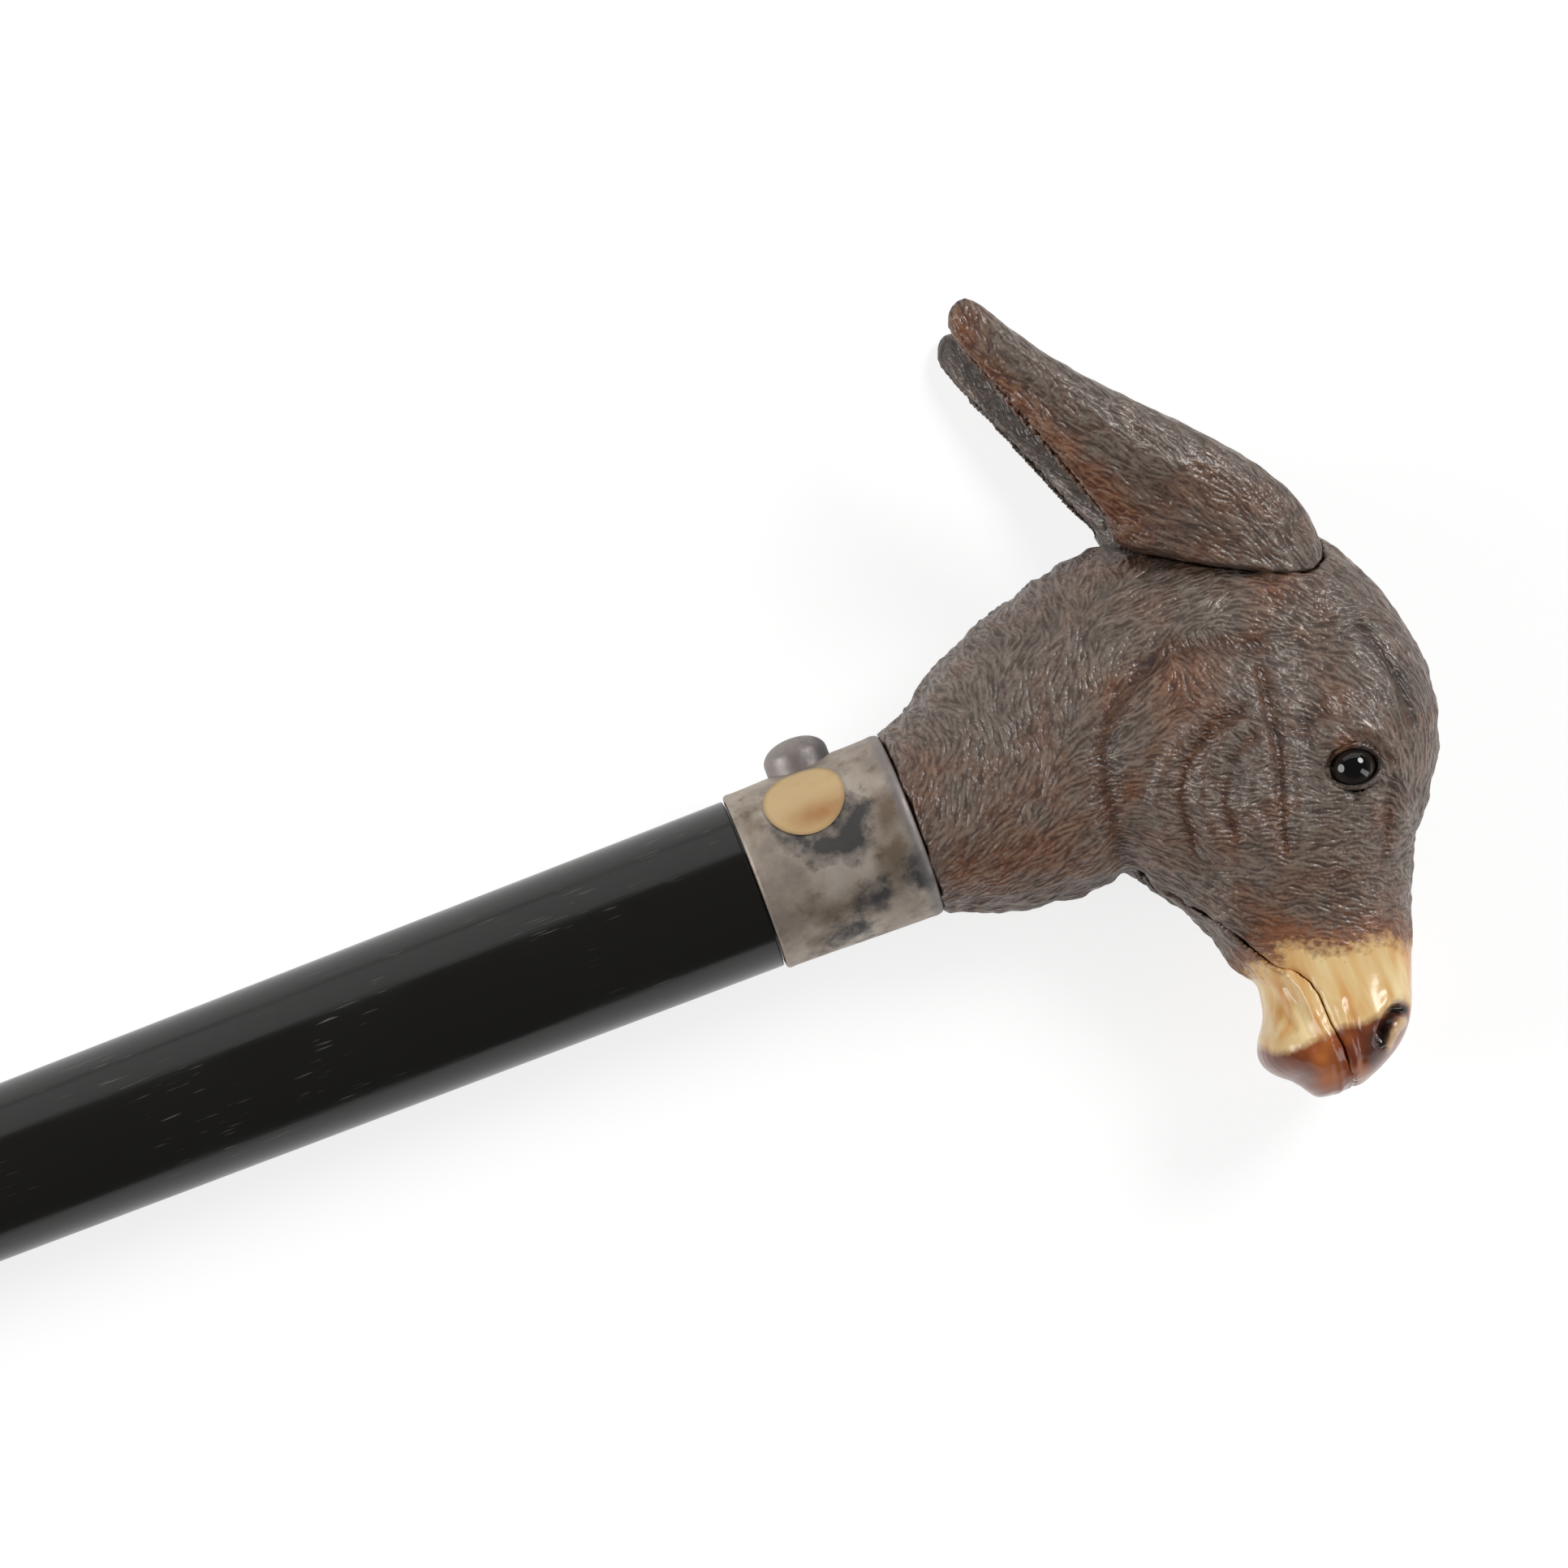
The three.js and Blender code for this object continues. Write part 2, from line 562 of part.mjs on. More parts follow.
function earRing(earFullness, side) {
  return ([lower, upper, width]) => {
    const half = upper.clone().sub(lower).multiplyScalar(0.5);
    const centre = lower.clone().add(half);
    return Array.from({ length: earPoints }, (_, j) => {
      const angle = (-2 * Math.PI * j) / earPoints;
      const along = signedPower(Math.cos(angle), 2 / earFullness);
      const across = signedPower(Math.sin(angle), 2 / earFullness);
      const point = centre.clone().addScaledVector(half, along + 0.12 * (1 - along * along));
      point.z = side * width.x + across * width.y;
      return point;
    });
  };
}

// The shell's hollow is a slimmer leaf that breaks out through the lower edge.
function earHollowRows() {
  return earStations.slice(3, 11).map(([lower, upper, middle, half], i, rows) => {
    const share = Math.sin((Math.PI * (i + 0.4)) / rows.length) ** 0.6;
    const away = [lower[0] - upper[0], lower[1] - upper[1]];
    const run = Math.hypot(...away);
    const out = 2.5 / run;
    const reach = 0.58 * share;
    return [
      [lower[0] + away[0] * out, lower[1] + away[1] * out],
      [lower[0] - away[0] * reach, lower[1] - away[1] * reach],
      middle, Math.max(half * 0.55 * share, 0.3),
    ];
  });
}

function makeEar(side) {
  const leaf = loft(smoothRows(earStations, earRings).map(earRing(2.1, side)));
  const hollow = loft(smoothRows(earHollowRows(), 12).map(earRing(2.0, side)));
  const whole = outline([[0, 0], [beyondEars, 0], [beyondEars, beyondEars], [0, beyondEars]]);
  const ridgeZone = sidePlate(whole, -beyondSides, earLeverLow, side);
  const leverPocket = sidePlate(earLeverShape(fit), earLeverLow - 1, earLeverHigh + fit, side);
  return cutBy(
    leaf.intersect(plate(aboveSeat(fit), -beyondSides, beyondSides)), hollow, ridgeZone, leverPocket,
    crossPin(earPivot, pinRadius + fit, -earPinHalf - fit, earPinHalf + fit),
  );
}

function earLeverShape(extra) {
  const back = rockerToEar.clone().normalize();
  const end = earPivot.clone().addScaledVector(back, -earLeverReach - earLeverOver);
  return bar(earPivot, end, leverHalfHeight + extra);
}

function makeEarLever(side) {
  const toRocker = rockerToEar.clone().normalize().negate();
  const body = sidePlate(earLeverShape(0), earLeverLow, earLeverHigh, side);
  const pinHole = crossPin(earPivot, pinRadius + fit, -beyondSides, beyondSides);
  return slotted(body.subtract(pinHole), earPivot, toRocker, earLeverReach, rockerTipUp.distanceTo(earPivot));
}

// Mouth

function makeTongue() {
  const root = jawSeam[6][1] - 2.6; // the tongue starts this far inside the lips' corner
  const shape = new THREE.Shape()
    .moveTo(-tongueHalfWidth * 0.8, 0)
    .lineTo(tongueHalfWidth * 0.8, 0)
    .quadraticCurveTo(tongueHalfWidth * 1.05, -5, tongueHalfWidth * 0.75, -7.6)
    .quadraticCurveTo(0, -10.6, -tongueHalfWidth * 0.75, -7.6)
    .quadraticCurveTo(-tongueHalfWidth * 1.05, -5, -tongueHalfWidth * 0.8, 0);
  const geometry = slab(shape, tongueThickness, 6);
  return solidOf(geometry.rotateY(Math.PI / 2).translate(mouthFloorX + 3 * fit, root, 0));
}

function makeTeeth(xLow, xHigh) {
  const pitch = (2 * toothRowHalfWidth) / teethInRow;
  const front = lipsInnerY + fit;
  const row = block(xLow, xHigh, front, front + toothDepth, -toothRowHalfWidth, toothRowHalfWidth);
  const grooves = Array.from({ length: teethInRow - 1 }, (_, i) => {
    const z = -toothRowHalfWidth + pitch * (i + 1);
    const [low, high] = [z - toothGap / 2, z + toothGap / 2];
    return block(xLow - 1, xHigh + 1, front - 1, front + toothDepth / 3, low, high);
  });
  return cutBy(row, ...grooves);
}

// Collar, button and what guides them

function makeCollar() {
  const end = -fit;
  const start = -collarLength;
  const outer = (x) => collarRadiusAt(x);
  const lip = 1.1;
  const round = collarRounding / 3;
  const beyond = 2 * collarHeadRadius;
  return cutBy(
    turned([
      [start, outer(start) - collarWall], [start, outer(start) - collarRounding],
      [start + round, outer(start) - round], [start + lip / 2, outer(start) + collarLip],
      [start + lip, outer(start + lip)], [end - lip, outer(end - lip)], [end - lip / 2, outer(end) + collarLip],
      [end - round, outer(end) - round], [end, outer(end) - collarRounding],
      [end, outer(end) - collarWall], [start, outer(start) - collarWall],
    ], 48),
    turnedUpright([[0, 0], [0, buttonRadius + fit], [beyond, buttonRadius + fit], [beyond, 0]], buttonX, 28),
  );
}

function makeButtonCap() {
  const surface = collarRadiusAt(buttonX);
  const skirtTop = surface + buttonRise * 0.35;
  const domeHeight = buttonRise * 0.65;
  const dome = Array.from({ length: 5 }, (_, i) => {
    const angle = i * 18 * degrees;
    return [skirtTop + domeHeight * Math.sin(angle), buttonRadius * Math.cos(angle)];
  });
  const flangeLow = flangeTop - flangeThickness;
  const profile = [
    [flangeLow, buttonStemRadius + fit], [flangeLow, flangeRadius], [flangeTop, flangeRadius],
    [flangeTop + 0.02, buttonRadius], ...dome, [skirtTop + domeHeight, 0],
    [surface, 0], [surface, buttonStemRadius + fit], [flangeLow, buttonStemRadius + fit],
  ];
  return turnedUpright(profile, buttonX, 28);
}

function makeButtonStem() {
  const low = crankPivot.y + crankNose + fit;
  const high = collarRadiusAt(buttonX) - fit;
  return turnedUpright([
    [low, 0], [low, buttonStemRadius - stemChamfer], [low + stemChamfer, buttonStemRadius],
    [high, buttonStemRadius], [high, 0],
  ], buttonX, 16);
}

function makeSpringSeat() {
  const inner = buttonStemRadius + fit;
  const outer = buttonBoreRadius - fit;
  const low = bayRoof + fit;
  const high = low + seatThickness;
  return turnedUpright([[low, inner], [low, outer], [high, outer], [high, inner], [low, inner]], buttonX, 20);
}

// A coil spring about the button's stem, from the seat to the flange
function makeButtonSpring() {
  const low = bayRoof + fit + seatThickness + fit + springWire / 2;
  const high = flangeTop - flangeThickness - fit - springWire / 2;
  const radius = buttonStemRadius + fit + 1.1;
  const steps = springTurns * 12;
  const points = Array.from({ length: steps + 1 }, (_, i) => {
    const angle = (2 * Math.PI * springTurns * i) / steps;
    const height = low + ((high - low) * i) / steps;
    return new THREE.Vector3(buttonX + radius * Math.cos(angle), height, radius * Math.sin(angle));
  });
  const section = new THREE.Shape().absarc(0, 0, springWire / 2, 0, 2 * Math.PI);
  return solidOf(new THREE.ExtrudeGeometry(section, {
    extrudePath: new THREE.CatmullRomCurve3(points), steps, curveSegments: 3, bevelEnabled: false,
  }));
}

function makeSticker() {
  const gap = stickerGap;
  const from = stickerX - stickerRadius - 1;
  const to = stickerX + stickerRadius + 1;
  const ring = (x, extra) => collarRadiusAt(x) + gap + extra;
  const shell = turned([
    [from, ring(from, 0)], [from, ring(from, stickerThickness)], [to, ring(to, stickerThickness)],
    [to, ring(to, 0)], [from, ring(from, 0)],
  ], 48);
  const reach = 2 * collarHeadRadius;
  const punch = new THREE.CylinderGeometry(stickerRadius, stickerRadius, reach, 28)
    .translate(0, reach / 2, 0).rotateX((90 - stickerAngle) * degrees).translate(stickerX, 0, 0);
  return shell.intersect(solidOf(punch));
}

// Shaft and ferrule

const ferruleTopX = tipX + ferruleLength;
const ferruleBeadRadius = shaftRadiusAt(ferruleTopX) + ferruleProud + ferruleBeadRise;
const shaftEndX = tipX + ferruleTipThickness + fit;
const ferruleInner = (x) => shaftRadiusAt(x) - ferruleWall;

function makeShaft() {
  const tenon = (x) => ferruleInner(x) - fit;
  const shoulderX = -collarLength - fit;
  const necked = Math.min(shaftTopRadius, spigotRadius);
  const body = turned([
    [shaftEndX, 0], [shaftEndX, tenon(shaftEndX)], [ferruleTopX + fit, tenon(ferruleTopX)],
    [ferruleTopX + fit, shaftRadiusAt(ferruleTopX)], [shoulderX, shaftRadiusAt(shoulderX)],
    [shoulderX, necked], [shaftTopX, necked], [shaftTopX, 0],
  ]);
  const dowelHole = turned([
    [shaftTopX - dowelInShaft - fit, 0], [shaftTopX - dowelInShaft - fit, dowelRadius + fit],
    [shaftTopX + 1, dowelRadius + fit], [shaftTopX + 1, 0],
  ], 24);
  const studHole = turned([
    [shaftEndX - 1, 0], [shaftEndX - 1, ferruleStudRadius + fit],
    [tipX + ferruleTipThickness + ferruleStudLength + fit, ferruleStudRadius + fit],
    [tipX + ferruleTipThickness + ferruleStudLength + fit, 0],
  ], 16);
  return cutBy(body, dowelHole, studHole);
}

function makeDowel() {
  const end = -spigotLength + dowelInSpigot;
  const start = shaftTopX - dowelInShaft;
  return turned([
    [start, 0], [start, dowelRadius - 0.6], [start + 0.8, dowelRadius], [end - 0.8, dowelRadius],
    [end, dowelRadius - 0.6], [end, 0],
  ], 24);
}

function makeFerrule() {
  const low = tipX + ferruleTipThickness + fit;
  const top = ferruleTopX;
  const outer = (x) => shaftRadiusAt(x) + ferruleProud;
  return turned([
    [low, ferruleInner(low)], [low, outer(low)], [top - 2 * ferruleBead, outer(top)],
    [top - 1.5 * ferruleBead, ferruleBeadRadius], [top - 0.5 * ferruleBead, ferruleBeadRadius],
    [top, outer(top)], [top, ferruleInner(top)], [low, ferruleInner(low)],
  ], 32);
}

function makeFerruleTip() {
  const edge = shaftRadiusAt(tipX) + ferruleProud;
  const shoulder = tipX + ferruleTipThickness;
  return turned([
    [tipX, 0], [tipX, ferruleFaceRadius], [tipX + 1.2, edge - 0.3], [tipX + 2, edge], [shoulder, edge],
    [shoulder, ferruleStudRadius], [shoulder + ferruleStudLength, ferruleStudRadius * 0.8],
    [shoulder + ferruleStudLength, 0],
  ], 32);
}

// Materials

function finish(color, roughness, metalness) {
  return new THREE.MeshStandardMaterial({ color, roughness, metalness });
}

const ebonisedWood = finish(0x17130f, 0.25, 0);
const carvedWood = finish(0x5f5046, 0.55, 0);
const silver = finish(0x9a918a, 0.42, 0.9);
const brass = finish(0xb08d4c, 0.4, 1);
const steel = finish(0x8d8f92, 0.35, 1);
const iron = finish(0x55524f, 0.6, 0.9);
const glass = finish(0x0c0a09, 0.05, 0);
const bone = finish(0xe4d6b4, 0.45, 0);
const redStain = finish(0x9c3b30, 0.5, 0);
const agedPaper = finish(0xd9bd7f, 0.85, 0);

// The cane, node by node

const cane = new THREE.Group();

function addNode(name, solid, material) {
  const mesh = new THREE.Mesh(geometryOf(solid), material);
  mesh.name = name;
  cane.add(mesh);
}

addNode('shaft', makeShaft(), ebonisedWood);
addNode('joining_dowel', makeDowel(), steel);
addNode('ferrule_sleeve', makeFerrule(), brass);
addNode('ferrule_tip', makeFerruleTip(), iron);
addNode('collar', makeCollar(), silver);
addNode('head', makeHead(), carvedWood);
addNode('eye_right', eyeball(1, eyeRadius), glass);
addNode('eye_left', eyeball(-1, eyeRadius), glass);
addNode('upper_teeth', makeTeeth(lipsX + 1.5 * fit, mouthRoofX - fit), bone);
addNode('inventory_sticker', makeSticker(), agedPaper);

addNode('crank_pin', crossPin(crankPivot, pinRadius, -crankPinHalf, crankPinHalf), steel);
addNode('jaw_pin', crossPin(jawPivot, pinRadius, -jawPinHalf, jawPinHalf), steel);
addNode('rocker_pin', crossPin(rockerPivot, pinRadius, -rockerPinHalf, rockerPinHalf), steel);
addNode('ear_pin', crossPin(earPivot, pinRadius, -earPinHalf, earPinHalf), steel);
addNode('rod_guide_rear', makeRodGuide(crankPivot.x + rearGuideAhead), brass);
addNode('rod_guide_front', makeRodGuide(jawPivot.x + frontGuideAhead), brass);
addNode('spring_seat', makeSpringSeat(), brass);
addNode('button_spring', makeButtonSpring(), steel);

addNode('button_cap', makeButtonCap(), silver);
addNode('button_stem', makeButtonStem(), steel);
addNode('bell_crank', makeCrank(), brass);
addNode('push_rod', makeRod(), steel);
addNode('lower_jaw', makeJaw(), carvedWood);
addNode('jaw_lever', makeJawLever(), brass);
addNode('tongue', makeTongue(), redStain);
addNode('lower_teeth', makeTeeth(mouthFloorX + fit, lipsX - 0.5 * fit), bone);
addNode('ear_rocker', makeRocker(), brass);
addNode('ear_right', makeEar(1), carvedWood);
addNode('ear_left', makeEar(-1), carvedWood);
addNode('ear_lever_right', makeEarLever(1), brass);
addNode('ear_lever_left', makeEarLever(-1), brass);

// Laid on the table: the left cheek and the ferrule's bead touch it, so the shaft rises towards the head.
const cheekDrop = -headForm.boundingBox().min[2];
const lean = Math.atan((cheekDrop - ferruleBeadRadius) / (cheekX - (ferruleTopX - ferruleBead)));
cane.position.set(-tipX * Math.cos(lean), 0, -tipX * Math.sin(lean));
cane.rotation.y = -lean;

const automatonCane = new THREE.Group();
automatonCane.add(cane);

export default automatonCane;
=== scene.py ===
import itertools
import json
import math

import bmesh
import bpy
import numpy as np
from mathutils import Matrix, Vector
from mathutils.bvhtree import BVHTree
from mathutils.kdtree import KDTree


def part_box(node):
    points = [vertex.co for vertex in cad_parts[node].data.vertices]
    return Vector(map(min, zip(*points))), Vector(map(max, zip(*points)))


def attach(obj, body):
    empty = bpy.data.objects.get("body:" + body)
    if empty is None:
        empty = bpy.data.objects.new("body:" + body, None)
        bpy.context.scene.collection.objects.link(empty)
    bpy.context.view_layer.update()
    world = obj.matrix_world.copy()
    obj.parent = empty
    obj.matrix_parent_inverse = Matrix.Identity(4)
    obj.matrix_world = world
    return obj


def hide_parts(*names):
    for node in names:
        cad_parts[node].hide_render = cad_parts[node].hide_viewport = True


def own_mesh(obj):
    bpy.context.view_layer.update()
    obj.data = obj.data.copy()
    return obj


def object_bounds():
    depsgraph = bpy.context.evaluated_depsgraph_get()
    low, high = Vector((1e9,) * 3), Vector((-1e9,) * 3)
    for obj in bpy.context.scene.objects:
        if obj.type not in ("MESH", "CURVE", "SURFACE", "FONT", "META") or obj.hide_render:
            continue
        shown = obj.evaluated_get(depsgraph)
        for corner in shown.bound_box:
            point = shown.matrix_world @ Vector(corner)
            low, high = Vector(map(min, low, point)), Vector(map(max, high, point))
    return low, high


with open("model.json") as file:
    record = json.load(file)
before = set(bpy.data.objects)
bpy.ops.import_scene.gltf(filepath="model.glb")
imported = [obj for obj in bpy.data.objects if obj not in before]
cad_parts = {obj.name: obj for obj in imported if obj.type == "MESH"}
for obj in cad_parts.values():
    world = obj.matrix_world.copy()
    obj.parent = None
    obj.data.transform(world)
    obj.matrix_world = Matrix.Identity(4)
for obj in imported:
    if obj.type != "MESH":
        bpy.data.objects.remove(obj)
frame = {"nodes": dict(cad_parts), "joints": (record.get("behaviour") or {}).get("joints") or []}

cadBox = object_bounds()
mm = 0.001
print("frame loaded")

# The cane's own frame, in mm: x up the shaft from where collar and head meet, y to the nape, z to the
# donkey's right. The cane lies with its shaft a little raised, so this frame is turned in the row's frame.
jawJoint = next(joint for joint in frame["joints"] if joint["name"] == "jaw_open")
jawPin = Vector((30, -17.8, 0)) * mm
lean = -math.asin(jawJoint["axis"][0])
caneTurn = Matrix.Rotation(-lean, 4, "Y")
caneFrame = Matrix.Translation(Vector(jawJoint["pos_m"]) - caneTurn @ jawPin) @ caneTurn


# Handling of pieces

def pick(piece):
    bpy.ops.object.select_all(action="DESELECT")
    piece.select_set(True)
    bpy.context.view_layer.objects.active = piece


def useModifier(piece, kind, **settings):
    pick(piece)
    modifier = piece.modifiers.new(kind.title(), kind)
    for name, value in settings.items():
        setattr(modifier, name, value)
    bpy.ops.object.modifier_apply(modifier=modifier.name)


def editAll(piece, *steps):
    pick(piece)
    bpy.ops.object.mode_set(mode="EDIT")
    bpy.ops.mesh.select_all(action="SELECT")
    for step in steps:
        step()
    bpy.ops.object.mode_set(mode="OBJECT")


def copyNode(node, name):
    piece = bpy.data.objects.new(name, frame["nodes"][node].data.copy())
    bpy.context.scene.collection.objects.link(piece)
    piece.data.materials.clear()
    editAll(piece, lambda: bpy.ops.mesh.remove_doubles(threshold=0.01 * mm))
    return piece


def newPiece(kind, name, **settings):
    bpy.ops.object.select_all(action="DESELECT")
    getattr(bpy.ops.mesh, "primitive_" + kind + "_add")(**settings)
    bpy.context.object.name = name
    return bpy.context.object


# The piece takes the place of a node of the frame; edges sharper than the angle stay sharp
def standFor(piece, body, material, node, degrees):
    smoothShade(piece, degrees)
    piece.data.materials.clear()
    piece.data.materials.append(material)
    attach(piece, body)
    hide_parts(node)


def smoothShade(piece, degrees):
    pick(piece)
    bpy.ops.object.shade_smooth_by_angle(angle=math.radians(degrees))


# Points of a piece in the cane's own frame

def canePoints(piece):
    flat = np.empty(len(piece.data.vertices) * 3)
    piece.data.vertices.foreach_get("co", flat)
    back = np.array(caneFrame.inverted())
    return (flat.reshape(-1, 3) @ back[:3, :3].T + back[:3, 3]) / mm


def setCanePoints(piece, points):
    there = np.array(caneFrame)
    placed = (points * mm) @ there[:3, :3].T + there[:3, 3]
    piece.data.vertices.foreach_set("co", placed.ravel())
    piece.data.update()


def caneNormals(piece):
    flat = np.empty(len(piece.data.vertices) * 3)
    piece.data.vertices.foreach_get("normal", flat)
    return flat.reshape(-1, 3) @ np.array(caneFrame)[:3, :3]


# Distance in mm from a line of points, and how deep inside an outline a point is (negative outside)
def lineDistance(x, y, line):
    best = np.full(len(x), 1e9)
    for (ax, ay), (bx, by) in zip(line, line[1:]):
        run = np.array([bx - ax, by - ay])
        share = np.clip(((x - ax) * run[0] + (y - ay) * run[1]) / (run @ run), 0, 1)
        best = np.minimum(best, np.hypot(x - ax - share * run[0], y - ay - share * run[1]))
    return best


def insideDistance(x, y, corners):
    ring = corners + corners[:1]
    inside = np.zeros(len(x), bool)
    for (ax, ay), (bx, by) in zip(ring, ring[1:]):
        crosses = (ay > y) != (by > y)
        inside ^= crosses & (x < (bx - ax) * (y - ay) / ((by - ay) or 1e-9) + ax)
    return np.where(inside, 1, -1) * lineDistance(x, y, ring)


# Smooth noise from 0 to 1: each corner of a grid has its own value, blended in between
def valueNoise(points, seed):
    cell = np.floor(points).astype(np.int64)
    local = points - cell
    local = local * local * (3 - 2 * local)
    total = np.zeros(len(points))
    for corner in itertools.product((0, 1), repeat=3):
        key = (cell + corner) @ np.array([73856093, 19349663, 83492791]) + seed * 7919
        key = (key ^ (key >> 13)) * 1274126177
        value = ((key ^ (key >> 16)) & 0xFFFF) / 0xFFFF
        total += value * np.prod(np.where(corner, local, 1 - local), axis=1)
    return total


# Noise averaged along the flow gives long narrow strokes
def strokes(points, flow, width, length, seed):
    steps = np.linspace(-0.5, 0.5, 7) * length
    values = [valueNoise((points + flow * step) / width + 100, seed) for step in steps]
    return (np.mean(values, axis=0) - 0.5) * 3.2


# The flow between the guide's points. Doubled angles are blended, since a stroke has no front or back.
def flowAt(points, normals, guide):
    double = np.zeros((2, len(points)))
    for x, y, degrees in guide:
        weight = 1 / ((points[:, 0] - x) ** 2 + (points[:, 1] - y) ** 2 + 3) ** 1.5
        turn = math.radians(2 * degrees)
        double += weight * np.array([[math.cos(turn)], [math.sin(turn)]])
    double /= np.linalg.norm(double, axis=0) + 1e-9
    half = 0.5 * np.arctan2(double[1], double[0])
    flow = np.stack([np.cos(half), np.sin(half), np.zeros(len(half))], axis=1)
    flow -= normals * np.sum(flow * normals, axis=1)[:, None]
    flow[:, 2] += 0.05
    return flow / np.linalg.norm(flow, axis=1)[:, None], double


def storeValues(piece, **values):
    for name, numbers in values.items():
        attribute = piece.data.attributes.new(name, "FLOAT", "POINT")
        attribute.data.foreach_set("value", np.ascontiguousarray(numbers, dtype=np.float32))


# Materials

def linear(code):
    parts = [int(code[i:i + 2], 16) / 255 for i in (1, 3, 5)]
    return [p / 12.92 if p <= 0.04045 else ((p + 0.055) / 1.055) ** 2.4 for p in parts] + [1]


# What goes into a socket is a node, a node with one of its outputs, a colour code or a plain value.
def connect(tree, node, links):
    for name, value in links.items():
        matches = [socket for socket in node.inputs if name in (socket.identifier, socket.name)]
        socket = node.inputs[name] if isinstance(name, int) else matches[0]
        if isinstance(value, bpy.types.Node):
            value = (value, 2 if value.bl_idname == "ShaderNodeMix" else 0)
        if isinstance(value, tuple) and isinstance(value[0], bpy.types.Node):
            tree.links.new(value[0].outputs[value[1]], socket)
        else:
            socket.default_value = linear(value) if isinstance(value, str) else value


def add(tree, kind, links=None, stops=(), **settings):
    node = tree.nodes.new("ShaderNode" + kind)
    for name, value in settings.items():
        setattr(node, name, value)
    if stops:
        ramp = node.color_ramp
        while len(ramp.elements) < len(stops):
            ramp.elements.new(0.5)
        for element, (position, code) in zip(ramp.elements, stops):
            element.position = position
            element.color = linear(code)
    connect(tree, node, links or {})
    return node


# A material with its noises, each with its size in mm, detail and roughness
def newMaterial(name, noises=()):
    material = bpy.data.materials.new(name)
    material.use_nodes = True
    tree = material.node_tree
    here = (add(tree, "TexCoord"), "Object")
    made = []
    for size, detail, rough in noises:
        scale = [1 / (side * mm) for side in (size if isinstance(size, tuple) else [size] * 3)]
        sized = add(tree, "Mapping", {"Vector": here, "Scale": scale})
        made.append(add(tree, "TexNoise", {"Vector": sized, "Scale": 1.0, "Detail": detail,
                                           "Roughness": rough}))
    return material, tree, tree.nodes["Principled BSDF"], here, made


# Carved wood, stained grey brown and waxed: strokes of a small gouge stand for the coat, dust has settled on
# their ridges and stain in their hollows, which are darkened further as painted shade. The muzzle is stained
# tan and polished.
furLook = {
    # mm, steps along a stroke, and how far the coat's direction waves in radians
    "strokeWidth": 0.44, "strokeLength": 1.0, "strokeDepth": 0.135, "strokeSteps": 5, "wave": 2.0,
    "grey": [(0, "#46372d"), (0.42, "#62544a"), (1, "#7d7065")],
    "red": [(0, "#4c2817"), (0.45, "#6f442b"), (1, "#876751")],
    "patchGain": 2.4, "patchLevel": 0.42, "noises": [(2.2, 1.0, 0.5), (5, 4.0, 0.65), (0.9, 3.0, 0.5)],
}
muzzleLook = {
    "streaks": [(0.22, "#d4914a"), (0.45, "#e5bc80"), (0.68, "#f0d6a0")],
    "streakTurn": 21, "streakSize": (2.2, 11, 2.2),  # degrees, mm
    "lips": [(0.35, "#763822"), (0.7, "#96502f")], "paintedHighlight": "#bf6f36", "dark": "#43302c", "orange": "#d4914a",
    "pale": "#d3b28a", "transition": "#96572f", "nostril": "#120d0b",
}
# Borders of the stain: the stored distance, where it starts and ends in mm, how ragged it is and its most
borders = {
    "lip": ("lipEdge", -0.55, 0.55, 0.25, 1.0),
    "fade": ("muzzleEdge", -4.4, 0.6, 2.6, 0.85),
    "muzzle": ("muzzleEdge", -1.2, 1.2, 1.5, 1.0),
}


